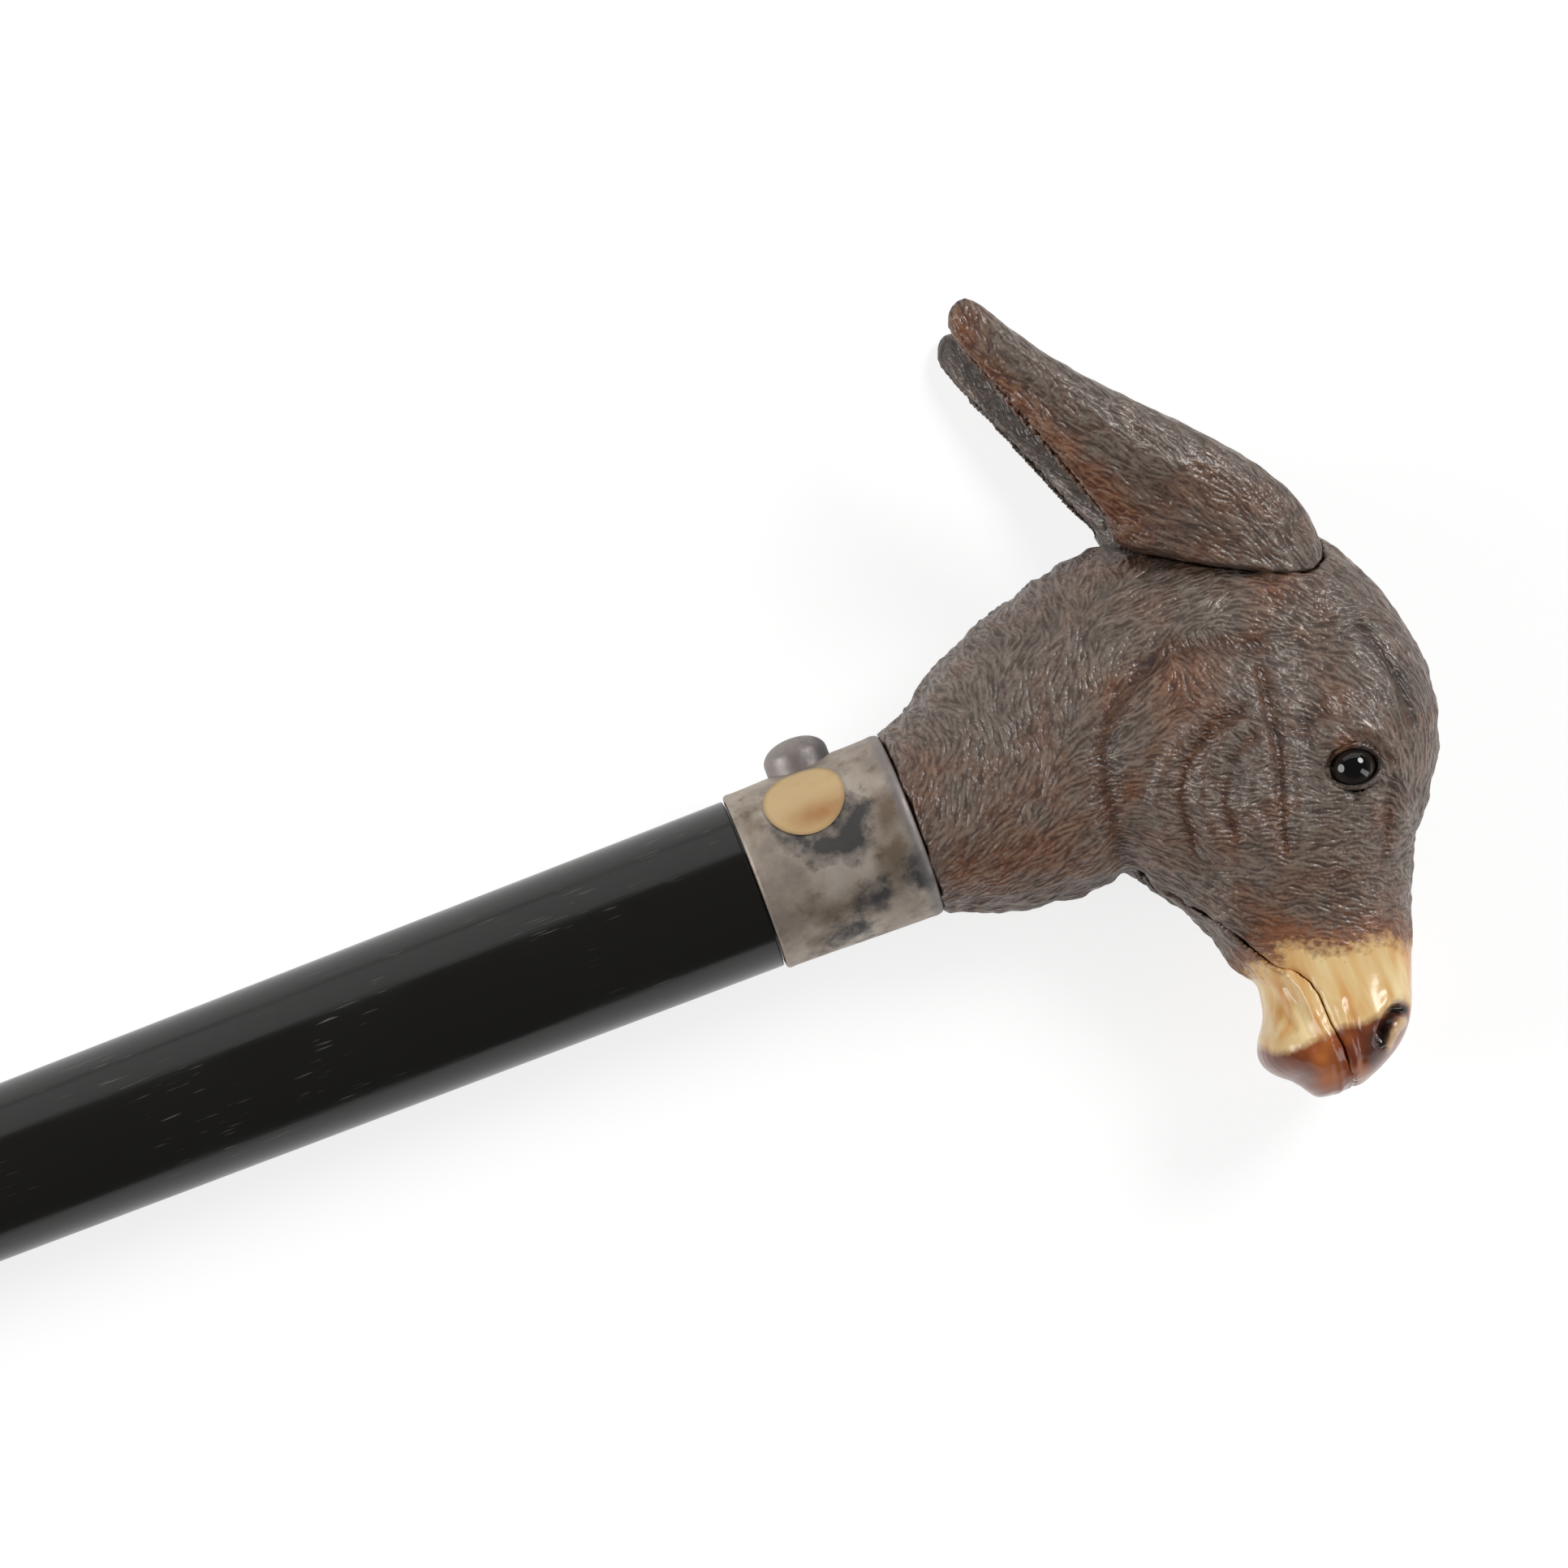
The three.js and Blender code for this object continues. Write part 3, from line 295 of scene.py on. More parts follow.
def carvedWood():
    look, tones = furLook, muzzleLook
    material, tree, shader, here, noises = newMaterial("carved_wood_stained_waxed", look["noises"])
    sway, patches, fine = noises
    stored = {}
    for name in ("flowSin", "flowCos", "polish", "redness", "shade", "lipEdge", "lipWarm", "lipDark",
                 "frontEdge",
                 "muzzleEdge", "nostrilPale", "nostril"):
        stored[name] = (add(tree, "Attribute", attribute_name=name), "Fac")

    # direction of the strokes on the surface, from the stored double angle
    double = add(tree, "Math", {0: stored["flowSin"], 1: stored["flowCos"]}, operation="ARCTAN2")
    half = add(tree, "Math", {0: double, 1: 0.5, 2: -0.5 * look["wave"]}, operation="MULTIPLY_ADD")
    angle = add(tree, "Math", {0: sway, 1: look["wave"], 2: half}, operation="MULTIPLY_ADD")
    cosine = add(tree, "Math", {0: angle}, operation="COSINE")
    sine = add(tree, "Math", {0: angle}, operation="SINE")
    inPlane = add(tree, "CombineXYZ", {"X": cosine, "Y": sine})
    upright = add(tree, "VectorMath", {0: inPlane, 1: (here[0], "Normal")}, operation="PROJECT")
    along = add(tree, "VectorMath", {0: inPlane, 1: upright}, operation="SUBTRACT")
    tilted = add(tree, "VectorMath", {0: along, 1: (0, 0, 0.05)}, operation="ADD")
    along = add(tree, "VectorMath", {0: tilted}, operation="NORMALIZE")

    # noise smeared along that direction gives the strokes
    total = 0.0
    for share in np.linspace(-0.5, 0.5, look["strokeSteps"]):
        step = [float(share) * look["strokeLength"] * mm] * 3
        spot = add(tree, "VectorMath", {0: along, 1: step, 2: here}, operation="MULTIPLY_ADD")
        dots = add(tree, "TexNoise", {"Vector": spot, "Scale": 1 / (look["strokeWidth"] * mm), "Detail": 0.0})
        total = add(tree, "Math", {0: dots, 1: 1 / look["strokeSteps"], 2: total}, operation="MULTIPLY_ADD")
    stroke = add(tree, "MapRange", {"Value": total, "From Min": 0.38, "From Max": 0.62})

    fur = add(tree, "Math", {0: 1.0, 1: stored["polish"]}, operation="SUBTRACT", use_clamp=True)
    gain = look["patchGain"]
    rust = add(tree, "Math", {0: patches, 1: gain, 2: stored["redness"]}, operation="MULTIPLY_ADD")
    redness = add(tree, "Math", {0: rust, 1: gain * look["patchLevel"]}, operation="SUBTRACT", use_clamp=True)
    # the strokes' hollows are darker: partly stain, partly painted shade for the self-shadow the bump does
    # not give
    grey, red = [add(tree, "ValToRGB", {"Fac": stroke}, look[name]) for name in ("grey", "red")]
    coat = add(tree, "Mix", {"Factor": redness, "A_Color": grey, "B_Color": red}, data_type="RGBA")
    # painted shade from the stored shade darkens the coat
    shade = add(tree, "MapRange", {"Value": stored["shade"], "To Min": 1.0, "To Max": 0.27})
    coat = add(tree, "Mix", {"Factor": 1.0, "A_Color": coat, "B_Color": shade}, data_type="RGBA",
               blend_type="MULTIPLY")

    # polished muzzle with its streaks, lips and nostrils: each layer covers what is below it by its share
    turned = add(tree, "Mapping", {"Vector": here, "Rotation": (0, 0, math.radians(tones["streakTurn"])),
                                   "Scale": [1 / (size * mm) for size in tones["streakSize"]]})
    streaks = add(tree, "TexNoise", {"Vector": turned, "Scale": 1.0, "Detail": 2.5})
    muzzle, lip = [add(tree, "ValToRGB", {"Fac": streaks}, tones[name]) for name in ("streaks", "lips")]
    ragged = add(tree, "Math", {0: fine, 1: 3.0, 2: -1.5}, operation="MULTIPLY_ADD")
    shares = {}
    for name, (edge, low, high, raggedness, most) in borders.items():
        uneven = add(tree, "Math", {0: ragged, 1: raggedness, 2: stored[edge]}, operation="MULTIPLY_ADD")
        shares[name] = add(tree, "MapRange", {"Value": uneven, "From Min": low, "From Max": high,
                                              "To Max": most})
    # painted highlights and painted shade laid over the lips' colour
    for share, tone in ((stored["lipWarm"], tones["paintedHighlight"]), (stored["lipDark"], tones["dark"])):
        lip = add(tree, "Mix", {"Factor": share, "A_Color": lip, "B_Color": tone}, data_type="RGBA")
    for share, tone in ((shares["lip"], lip), (stored["frontEdge"], tones["orange"])):
        muzzle = add(tree, "Mix", {"Factor": share, "A_Color": muzzle, "B_Color": tone}, data_type="RGBA")
    for share, tone in ((shares["fade"], tones["transition"]), (shares["muzzle"], muzzle),
                        (stored["nostrilPale"], tones["pale"]), (stored["nostril"], tones["nostril"])):
        coat = add(tree, "Mix", {"Factor": share, "A_Color": coat, "B_Color": tone}, data_type="RGBA")

    grain = add(tree, "Math", {0: fine, 1: 0.12}, operation="MULTIPLY")
    height = add(tree, "Math", {0: stroke, 1: fur, 2: grain}, operation="MULTIPLY_ADD")
    bump = add(tree, "Bump", {"Height": height, "Strength": 1.0, "Distance": look["strokeDepth"] * mm})
    furRough = add(tree, "MapRange", {"Value": stroke, "To Min": 0.6, "To Max": 0.32})
    rough = add(tree, "Mix", {"Factor": fur, "A_Float": 0.2, "B_Float": furRough}, data_type="FLOAT")
    wax = add(tree, "MapRange", {"Value": patches, "From Min": 0.4, "From Max": 0.62, "To Min": 0.06,
                                 "To Max": 0.5})
    waxed = add(tree, "Math", {0: wax, 1: fur}, operation="MULTIPLY")
    connect(tree, shader, {"Base Color": coat, "Normal": bump, "Roughness": (rough, 0), "IOR": 1.5,
                           "Coat Weight": waxed, "Coat Roughness": 0.13, "Coat Normal": bump})
    return material


# Ebony-black stained wood, French polished: a deep gloss with fine scratches along the stick.
shaftLook = {"black": "#151412", "worn": "#55524c", "noises": [((6, 0.3, 0.3), 1.0, 0.5), (14, 2.0, 0.5)]}


def ebonisedWood():
    look = shaftLook
    material, tree, shader, _, noises = newMaterial("ebonised_wood_french_polished", look["noises"])
    lines, clouds = noises
    scratch = add(tree, "MapRange", {"Value": lines, "From Min": 0.675, "From Max": 0.75})
    where = add(tree, "MapRange", {"Value": clouds, "From Min": 0.48, "From Max": 0.58})
    marks = add(tree, "Math", {0: scratch, 1: where}, operation="MULTIPLY")
    tone = add(tree, "Mix", {"Factor": marks, "A_Color": look["black"], "B_Color": look["worn"]},
               data_type="RGBA")
    rough = add(tree, "MapRange", {"Value": clouds, "From Min": 0.3, "From Max": 0.7, "To Min": 0.14,
                                   "To Max": 0.24})
    scuffed = add(tree, "Math", {0: marks, 1: 0.3, 2: rough}, operation="MULTIPLY_ADD")
    bump = add(tree, "Bump", {"Height": lines, "Strength": 0.12, "Distance": 0.05 * mm})
    connect(tree, shader, {"Base Color": tone, "Roughness": scuffed, "Normal": bump, "IOR": 1.5})
    return material


# Sheet silver, rolled and soldered, long unpolished: mauve grey sulphide film, blue black and ochre blotches.
# The rim tone is a painted dark reflection along the collar's rounded front end, and the button's own darker
# grey.
silverLook = {
    "film": [(0.36, "#95897f"), (0.5, "#a89b8e"), (0.64, "#b8ada1")], "brown": "#6b5945", "rim": "#7b777a",
    # the stored distance from the blotch's edge, its colour, where it starts and ends in mm and its most
    "blotches": [("brown", "#6b5945", -1.1, 1.5, 0.8), ("tarnish", "#3e3e40", -1.0, 0.9, 0.92)],
    "noises": [(7, 5.0, 0.6), (2.2, 6.0, 0.68), (0.5, 3.0, 0.5)],
}


def tarnishedSilver():
    look = silverLook
    material, tree, shader, _, noises = newMaterial("sheet_silver_tarnished", look["noises"])
    wide, middle, small = noises
    tone = add(tree, "ValToRGB", {"Fac": wide}, look["film"])
    mottle = add(tree, "MapRange", {"Value": middle, "From Min": 0.56, "From Max": 0.72, "To Max": 0.55})
    layers = [(mottle, look["brown"])]
    uneven = add(tree, "Math", {0: middle, 1: 5.0, 2: -2.5}, operation="MULTIPLY_ADD")
    for name, code, low, high, most in look["blotches"]:
        blotch = (add(tree, "Attribute", attribute_name=name), "Fac")
        edge = add(tree, "Math", {0: blotch, 1: uneven}, operation="ADD")
        share = add(tree, "MapRange", {"Value": edge, "From Min": low, "From Max": high, "To Max": most})
        layers.append((share, code))
    # rim: on the collar a painted dark reflection along its rounded front edge; over the whole button its own
    # darker tone
    rim = (add(tree, "Attribute", attribute_name="rim"), "Fac")
    layers.append((add(tree, "Math", {0: rim, 1: 0.6}, operation="MULTIPLY"), look["rim"]))
    for share, code in layers:
        tone = add(tree, "Mix", {"Factor": share, "A_Color": tone, "B_Color": code}, data_type="RGBA")
    rough = add(tree, "MapRange", {"Value": middle, "From Min": 0.3, "From Max": 0.7, "To Min": 0.42,
                                   "To Max": 0.62})
    bump = add(tree, "Bump", {"Height": small, "Strength": 0.15, "Distance": 0.05 * mm})
    connect(tree, shader, {"Base Color": tone, "Roughness": rough, "Normal": bump, "Metallic": 0.6})
    return material


# Gummed paper dot, yellowed, with a rusty water stain towards its lower edge.
paperLook = {
    "paper": [(0.35, "#c8a875"), (0.65, "#d5b98c")], "stain": "#a06c38", "grime": "#76593a",
    "noises": [(0.35, 4.0, 0.5), (3.5, 4.0, 0.5)],
}


def agedPaper():
    look = paperLook
    material, tree, shader, _, noises = newMaterial("gummed_paper_yellowed", look["noises"])
    fibre, cloud = noises
    tone = add(tree, "ValToRGB", {"Fac": cloud}, look["paper"])
    stain = (add(tree, "Attribute", attribute_name="stain"), "Fac")
    edge = (add(tree, "Attribute", attribute_name="edge"), "Fac")
    blotch = add(tree, "Math", {0: cloud, 1: 1.2, 2: -0.6}, operation="MULTIPLY_ADD")
    soaked = add(tree, "Math", {0: stain, 1: blotch}, operation="ADD", use_clamp=True)
    for share, code in ((soaked, look["stain"]), (edge, look["grime"])):
        tone = add(tree, "Mix", {"Factor": share, "A_Color": tone, "B_Color": code}, data_type="RGBA")
    bump = add(tree, "Bump", {"Height": fibre, "Strength": 0.3, "Distance": 0.03 * mm})
    connect(tree, shader, {"Base Color": tone, "Roughness": 0.7, "Normal": bump})
    return material


# Blown glass eye, painted behind: nearly black pupil, dark brown iris with a grey rim.
glassLook = {
    "rings": [(0.0, "#040404"), (0.55, "#060505"), (0.7, "#1f1a17"), (0.85, "#2b2521"), (1.0, "#0d0a09")],
    "noises": [(0.5, 2.0, 0.5)],
}


def eyeGlass():
    look = glassLook
    material, tree, shader, _, (rays,) = newMaterial("blown_glass_painted_behind", look["noises"])
    depth = (add(tree, "Attribute", attribute_name="iris"), "Fac")
    uneven = add(tree, "Math", {0: rays, 1: 0.12, 2: -0.06}, operation="MULTIPLY_ADD")
    ringed = add(tree, "Math", {0: depth, 1: uneven}, operation="ADD")
    tone = add(tree, "ValToRGB", {"Fac": ringed}, look["rings"])
    connect(tree, shader, {"Base Color": tone, "Roughness": 0.03, "IOR": 1.52})
    return material


# Finishes of three tones over a fine relief: the tones, the noises of tone and relief, the relief's strength
# and its depth in mm, the roughness at both ends of the tones, and how metallic
plainLooks = {
    # handled and a little tarnished, the marks of the file along the piece
    "rolled_brass_filed": ([(0.35, "#8a6a35"), (0.55, "#b08f52"), (0.7, "#c4a768")],
                           [(6, 4.0, 0.5), ((5, 0.15, 0.15), 2.0, 0.5)], 0.2, 0.03, 0.28, 0.45, 1.0),
    # wire and bar: bright, with a trace of rust
    "drawn_steel_bright": ([(0.4, "#8d9093"), (0.62, "#7f8082"), (0.75, "#6d5a49")],
                           [(3, 4.0, 0.5)] * 2, 0.1, 0.03, 0.3, 0.3, 1.0),
    # pitted, and scuffed by the ground
    "forged_iron_scuffed": ([(0.35, "#3c3836"), (0.55, "#65625f"), (0.75, "#6b5344")],
                            [(4, 4.0, 0.5), (0.8, 5.0, 0.5)], 0.5, 0.1, 0.5, 0.5, 0.9),
    # cream, with the fine dark pores of bone
    "bone_sawn_polished": ([(0.3, "#b49a6c"), (0.45, "#dccba3"), (0.7, "#e9dcbc")],
                           [(0.3, 4.0, 0.5)] * 2, 0.2, 0.05, 0.35, 0.35, 0.0),
    # dull red, the grain showing through
    "limewood_stained_red": ([(0.35, "#6e2a20"), (0.6, "#9a4032"), (0.75, "#ab5747")],
                             [((0.5, 4, 0.5), 3.0, 0.5)] * 2, 0.3, 0.05, 0.4, 0.4, 0.0),
}


def plainFinish(name):
    tones, sizes, strength, depth, darkRough, paleRough, metallic = plainLooks[name]
    material, tree, shader, _, (film, relief) = newMaterial(name, sizes)
    tone = add(tree, "ValToRGB", {"Fac": film}, tones)
    rough = add(tree, "MapRange", {"Value": film, "From Min": 0.3, "From Max": 0.7, "To Min": darkRough,
                                   "To Max": paleRough})
    bump = add(tree, "Bump", {"Height": relief, "Strength": strength, "Distance": depth * mm})
    connect(tree, shader, {"Base Color": tone, "Roughness": rough, "Normal": bump, "Metallic": metallic})
    return material


wood = carvedWood()
ebonised = ebonisedWood()
silver = tarnishedSilver()
paper = agedPaper()
glass = eyeGlass()
brass, steel, iron, bone, redWood = [plainFinish(name) for name in plainLooks]
print("materials made")


# Turned pieces: a circle is extruded and resized from one profile point to the next, then closed.
def turnPiece(name, profile, segments, ends="fill"):
    (x, radius), *rest = profile
    piece = newPiece("circle", name, vertices=segments, radius=radius * mm, location=(x * mm, 0, 0),
                     rotation=(0, math.pi / 2, 0))
    bpy.ops.object.mode_set(mode="EDIT")
    bpy.ops.mesh.select_all(action="SELECT")
    for nextX, nextRadius in rest:
        bpy.ops.mesh.extrude_edges_move(TRANSFORM_OT_translate={"value": ((nextX - x) * mm, 0, 0)})
        share = nextRadius / radius
        bpy.ops.transform.resize(value=(1, share, share), center_override=(nextX * mm, 0, 0))
        x, radius = nextX, nextRadius
    bpy.ops.mesh.select_all(action="DESELECT")
    bpy.ops.mesh.select_non_manifold()
    if ends == "fill":
        bpy.ops.mesh.fill_holes(sides=0)
    else:
        bpy.ops.mesh.bridge_edge_loops()
    bpy.ops.mesh.select_all(action="SELECT")
    bpy.ops.mesh.normals_make_consistent(inside=False)
    bpy.ops.object.mode_set(mode="OBJECT")
    bpy.ops.object.transform_apply(location=True, rotation=True, scale=True)
    return piece


def placeInRow(piece, local=Matrix.Identity(4)):
    piece.data.transform(caneFrame @ local)
    piece.data.update()


# The shaft: a long tapered stick with a small step down into the ferrule
shaftSizes = {
    "topX": -20.1, "neckRadius": 11.0, "radius": 11.65, "collarX": -22.3, "taper": 0.00591, "tipX": -828.7,
    "ferruleLength": 32, "edge": 0.15, "gap": 0.3, "tenonEnd": 4.3, "tenonStep": 1.1, "tenonEndStep": 1.2,
}


def shaftRadiusAt(x):
    return shaftSizes["radius"] + shaftSizes["taper"] * (x - shaftSizes["collarX"])


s = shaftSizes
shoulder = s["collarX"] - s["gap"]
ferruleTop = s["tipX"] + s["ferruleLength"] + s["gap"]
along = (shoulder - s["edge"], *np.linspace(shoulder - 1, ferruleTop, 24))
profile = [(s["topX"], s["neckRadius"]), (shoulder, s["neckRadius"]), (shoulder, s["radius"] - s["edge"])]
profile += [(x, shaftRadiusAt(x)) for x in along]
profile += [(ferruleTop, shaftRadiusAt(ferruleTop) - s["tenonStep"]),
            (s["tipX"] + s["tenonEnd"], shaftRadiusAt(s["tipX"]) - s["tenonEndStep"])]
piece = turnPiece("shaft_polished", profile, 128)
placeInRow(piece)
standFor(piece, "cane", ebonised, "shaft", 30)
print("shaft made")

# The collar: rolled silver with rounded ends and a hole for the button
collarSizes = {
    "length": 22.3, "shaftRadius": 12.2, "headRadius": 12.7, "wall": 0.9, "lip": 0.06, "gap": 0.2,
    "rearRounding": 0.6, "rearDrop": 0.7, "frontRounding": 1.1, "frontDrop": 0.45,
    "holeX": -11.3, "holeRadius": 4.65, "dentSize": 4, "dentDepth": 0.1, "rimStart": -1.9, "rimFade": 0.5,
}
# stains on the side that lies uppermost, as outlines
darkStains = [
    [(-18.3, 5.4), (-16.6, 3.5), (-11.5, 2.5), (-9.4, 3.4), (-7.5, 5.3), (-6, 5.3), (-4.8, 4.6), (-5.2, 3),
     (-6.5, 1.1), (-6.6, -0.8), (-7.6, -1.9), (-9.7, -2), (-11.2, -1.4), (-13.5, -1.4), (-15.6, 0.9),
     (-17.3, 3.9)],
    [(-2.6, -4.4), (-0.9, -4.2), (-0.6, -9.2), (-2.2, -9.8), (-3.4, -8.2), (-3.4, -6.1)],
    [(-8.9, -6), (-6.3, -6.8), (-6.5, -8.1), (-8.1, -9.3), (-9.7, -8.7), (-11.1, -9.3), (-11.6, -8.5)],
    [(-15.9, -11.2), (-14.4, -9.7), (-10.8, -10.1), (-9.8, -11.2), (-10.7, -12.1), (-13, -11.4)],
]
brownStains = [
    [(-4.6, 4.5), (-1.6, 3.9), (-1.1, 1.4), (-2.9, -0.8), (-4.9, -1.5), (-5.9, 0.3)],
    [(-13.6, -6), (-10.5, -5.7), (-9.6, -7), (-11.1, -8.7), (-13.7, -9.4), (-15.9, -9.2), (-16.9, -7.1),
     (-19, -6.5), (-16.7, -5.1)],
    [(-20.8, 9.3), (-18.5, 9.9), (-17.9, 9.1), (-19.3, 7.8), (-19.6, 6.2), (-20.9, 4.4), (-20.5, 6.9)],
    [(-18.4, -10.2), (-15.7, -10.1), (-16.9, -11.7), (-18.5, -11.4)],
    [(-6.5, -1.2), (-2.4, -1), (-2.3, -3.9), (-4.2, -7.3), (-6.2, -6.5), (-6.8, -3.6)],
]


def collarRadiusAt(x):
    s = collarSizes
    return s["headRadius"] + (s["headRadius"] - s["shaftRadius"]) / s["length"] * x


# Depth inside a stain's outline, its edge made uneven; on the side below, noise stands for the outlines
def stainAt(points, outlines, seed):
    warp = np.stack([valueNoise(points / 1.7 + 20 * k, seed + k) - 0.5 for k in (1, 2)], 1) * 1.6
    x, y = points[:, 0] + warp[:, 0], points[:, 1] + warp[:, 1]
    seen = np.max([insideDistance(x, y, outline) for outline in outlines], axis=0)
    hidden = (valueNoise(points / 4.5 + 40, seed) - 0.62) * 6
    return np.clip(np.where(points[:, 2] > -1, seen, hidden), -3, 1.5)


s = collarSizes
low, high, rear, front = -s["length"], -s["gap"], s["rearRounding"], s["frontRounding"]
quarter = np.radians(range(0, 91, 15))
rises = [(low + rear * (1 - math.sin(a)), s["lip"] - rear * s["rearDrop"] * (1 - math.cos(a)))
         for a in quarter[::-1]]
rises += [(x, 0.0) for x in np.linspace(low + 1.2, high - 2, 62)]
rises += [(high - front * (1 - math.sin(a)), s["lip"] - front * s["frontDrop"] * (1 - math.cos(a)))
          for a in quarter]
profile = [(x, collarRadiusAt(x) + rise) for x, rise in rises]
profile += [(x, collarRadiusAt(x) - s["wall"]) for x in np.linspace(high, low, 8)]
piece = turnPiece("collar_tarnished", profile, 224, ends="bridge")
cutter = turnPiece("cutter", [(5, s["holeRadius"]), (30, s["holeRadius"])], 64)
cutter.data.transform(Matrix.Translation((s["holeX"] * mm, 0, 0)) @ Matrix.Rotation(math.pi / 2, 4, "Z"))
useModifier(piece, "BOOLEAN", object=cutter, operation="DIFFERENCE", solver="EXACT")
bpy.data.objects.remove(cutter)
placeInRow(piece)
points = canePoints(piece)
dents = (valueNoise(points / s["dentSize"] + 50, 3) - 0.5) * s["dentDepth"]
points[:, 1:] *= (1 + dents / 12)[:, None]
setCanePoints(piece, points)
# the rim share is a painted dark reflection on the rounded front end; the stains are tarnish
storeValues(piece, tarnish=stainAt(points, darkStains, 5), brown=stainAt(points, brownStains, 9),
            rim=np.clip((points[:, 0] - s["rimStart"]) / s["rimFade"], 0, 1))
standFor(piece, "cane", silver, "collar", 50)
print("collar made")

# The button: a spun silver dome over a plain skirt
buttonSizes = {
    "x": -11.3, "radius": 4.4, "rise": 3.8, "skirtShare": 0.3, "flangeTop": 9.5, "flangeRadius": 5.3,
    "flange": 0.8, "bore": 2.0, "stainX": -7.4,
}
s = buttonSizes
surface = collarRadiusAt(s["x"])
skirt = surface + s["rise"] * s["skirtShare"]
dome = s["rise"] * (1 - s["skirtShare"])
low = s["flangeTop"] - s["flange"]
profile = [(surface, s["bore"]), (low, s["bore"]), (low, s["flangeRadius"]),
           (s["flangeTop"], s["flangeRadius"])]
profile += [(s["flangeTop"] + 0.02, s["radius"]), (surface, s["radius"])]
profile += [(skirt + dome * math.sin(a), s["radius"] * math.cos(a) ** 0.92)
            for a in np.radians(range(0, 86, 6))]
piece = turnPiece("button_domed", profile, 72)
placeInRow(piece, Matrix.Translation((s["x"] * mm, 0, 0)) @ Matrix.Rotation(math.pi / 2, 4, "Z"))
points = canePoints(piece)
away = np.hypot(points[:, 0] - s["stainX"], points[:, 1] - surface)
storeValues(piece, tarnish=np.clip(1.3 - away / 1.8, -3, 1), brown=np.clip(1.6 - away / 2.4, -3, 1),
            rim=np.ones(len(points)))
standFor(piece, "button", silver, "button_cap", 40)
print("button made")

# The paper dot: a disc pressed on the collar
stickerSizes = {
    "x": -12.6, "radius": 5.5, "angle": 38, "gap": 0.12, "thickness": 0.16,  # mm, degrees
    "wrinkleSize": 1.8, "wrinkleDepth": 0.06, "liftFrom": 0.88, "liftSize": 3, "lift": 0.8,
}
s = stickerSizes
piece = newPiece("circle", "inventory_sticker_blank", vertices=96, radius=s["radius"] * mm, fill_type="NGON")
bpy.ops.object.mode_set(mode="EDIT")
bpy.ops.mesh.select_all(action="SELECT")
for _ in range(9):
    bpy.ops.mesh.inset(thickness=s["radius"] * mm / 10)
bpy.ops.mesh.poke()
bpy.ops.object.mode_set(mode="OBJECT")
flat = np.array([v.co[:] for v in piece.data.vertices]) / mm
away = np.hypot(flat[:, 0], flat[:, 1]) / s["radius"]
level = np.zeros(len(flat))
wrinkle = (valueNoise(np.c_[flat[:, :2] / s["wrinkleSize"] + 30, level], 2) - 0.5) * s["wrinkleDepth"]
loose = np.clip(away - s["liftFrom"], 0, 1) * valueNoise(np.c_[flat[:, :2] / s["liftSize"] + 9, level], 8)
x = s["x"] + flat[:, 0]
radius = collarRadiusAt(x) + s["gap"] + wrinkle + s["lift"] * loose
angle = math.radians(s["angle"]) + flat[:, 1] / collarRadiusAt(s["x"])
bent = np.c_[x, radius * np.sin(angle), radius * np.cos(angle)]
setCanePoints(piece, bent)
stain = np.exp(-((flat[:, 0] - 1.2) / 4.4) ** 2 - ((flat[:, 1] + 3.2) / 1.9) ** 2) * 0.85
storeValues(piece, stain=stain, edge=np.clip((away - 0.93) * 12, 0, 1) * 0.5)
useModifier(piece, "SOLIDIFY", thickness=s["thickness"] * mm, offset=1)
editAll(piece, lambda: bpy.ops.mesh.normals_make_consistent(inside=False))
standFor(piece, "cane", paper, "inventory_sticker", 40)
print("label made")

# The ferrule: a drawn brass sleeve with a bead, and the iron foot it holds
ferruleSizes = {
    "foot": 4, "gap": 0.3, "over": 0.1, "face": 5.6, "bead": 1.2, "rise": 0.4, "wall": 0.8,
    "spike": 14, "spikeRadius": (2.4, 1.9),
}
s = ferruleSizes
tipX, over = shaftSizes["tipX"], s["over"]
low, top = tipX + s["foot"] + s["gap"], tipX + shaftSizes["ferruleLength"]
beadX = top - s["bead"]
profile = [(x, shaftRadiusAt(x) + over) for x in (low, *np.linspace(low + 1, beadX - s["bead"] * 0.7, 8))]
profile += [(beadX + 0.7 * s["bead"] * math.sin(a), shaftRadiusAt(beadX) + over + s["rise"] * math.cos(a))
            for a in np.radians(range(-80, 81, 20))]
profile += [(top, shaftRadiusAt(top) + over)]
profile += [(x, shaftRadiusAt(x) - s["wall"]) for x in (top, low)]
sleeve = turnPiece("ferrule_sleeve_beaded", profile, 96, ends="bridge")
placeInRow(sleeve)
standFor(sleeve, "cane", brass, "ferrule_sleeve", 40)

edge = shaftRadiusAt(tipX) + over
outline = [(0, s["face"] - 0.3), (0.1, s["face"] + 0.1), (1.2, edge - 0.3), (1.7, edge - 0.08), (2.2, edge),
           (s["foot"], edge), (s["foot"], s["spikeRadius"][0]), (s["foot"] + s["spike"], s["spikeRadius"][1])]
profile = [(tipX + up, radius) for up, radius in outline]
foot = turnPiece("ferrule_foot_worn", profile, 96)
placeInRow(foot)
standFor(foot, "cane", iron, "ferrule_tip", 40)
print("ferrule made")

# Carving: the solids' forms are remeshed finely, smoothed away from their cut edges and then worked
carving = {
    "smoothing": 30, "edgeReach": 1.4, "tuftWidth": 0.95, "tuftLength": 2.2,
    "tuftRise": 0.1, "edgeTuftRise": 0.36, "earTuftRise": 0.05,
    # the nose's orange front starts at this x where y is -40, leans by this much for each mm, and fades in
    "frontStart": 52.6, "frontLean": 0.32, "frontFade": 2.2, "frontMost": 0.9,
    # how far the jaw's seam closes, by the distance below the cane's middle
    "seamStart": 24, "seamReach": 0.7, "seamCloser": ((35, 37.5, 46, 50), (0.22, 0.07, 0.07, 0.0)),
}
farAway = 50  # mm

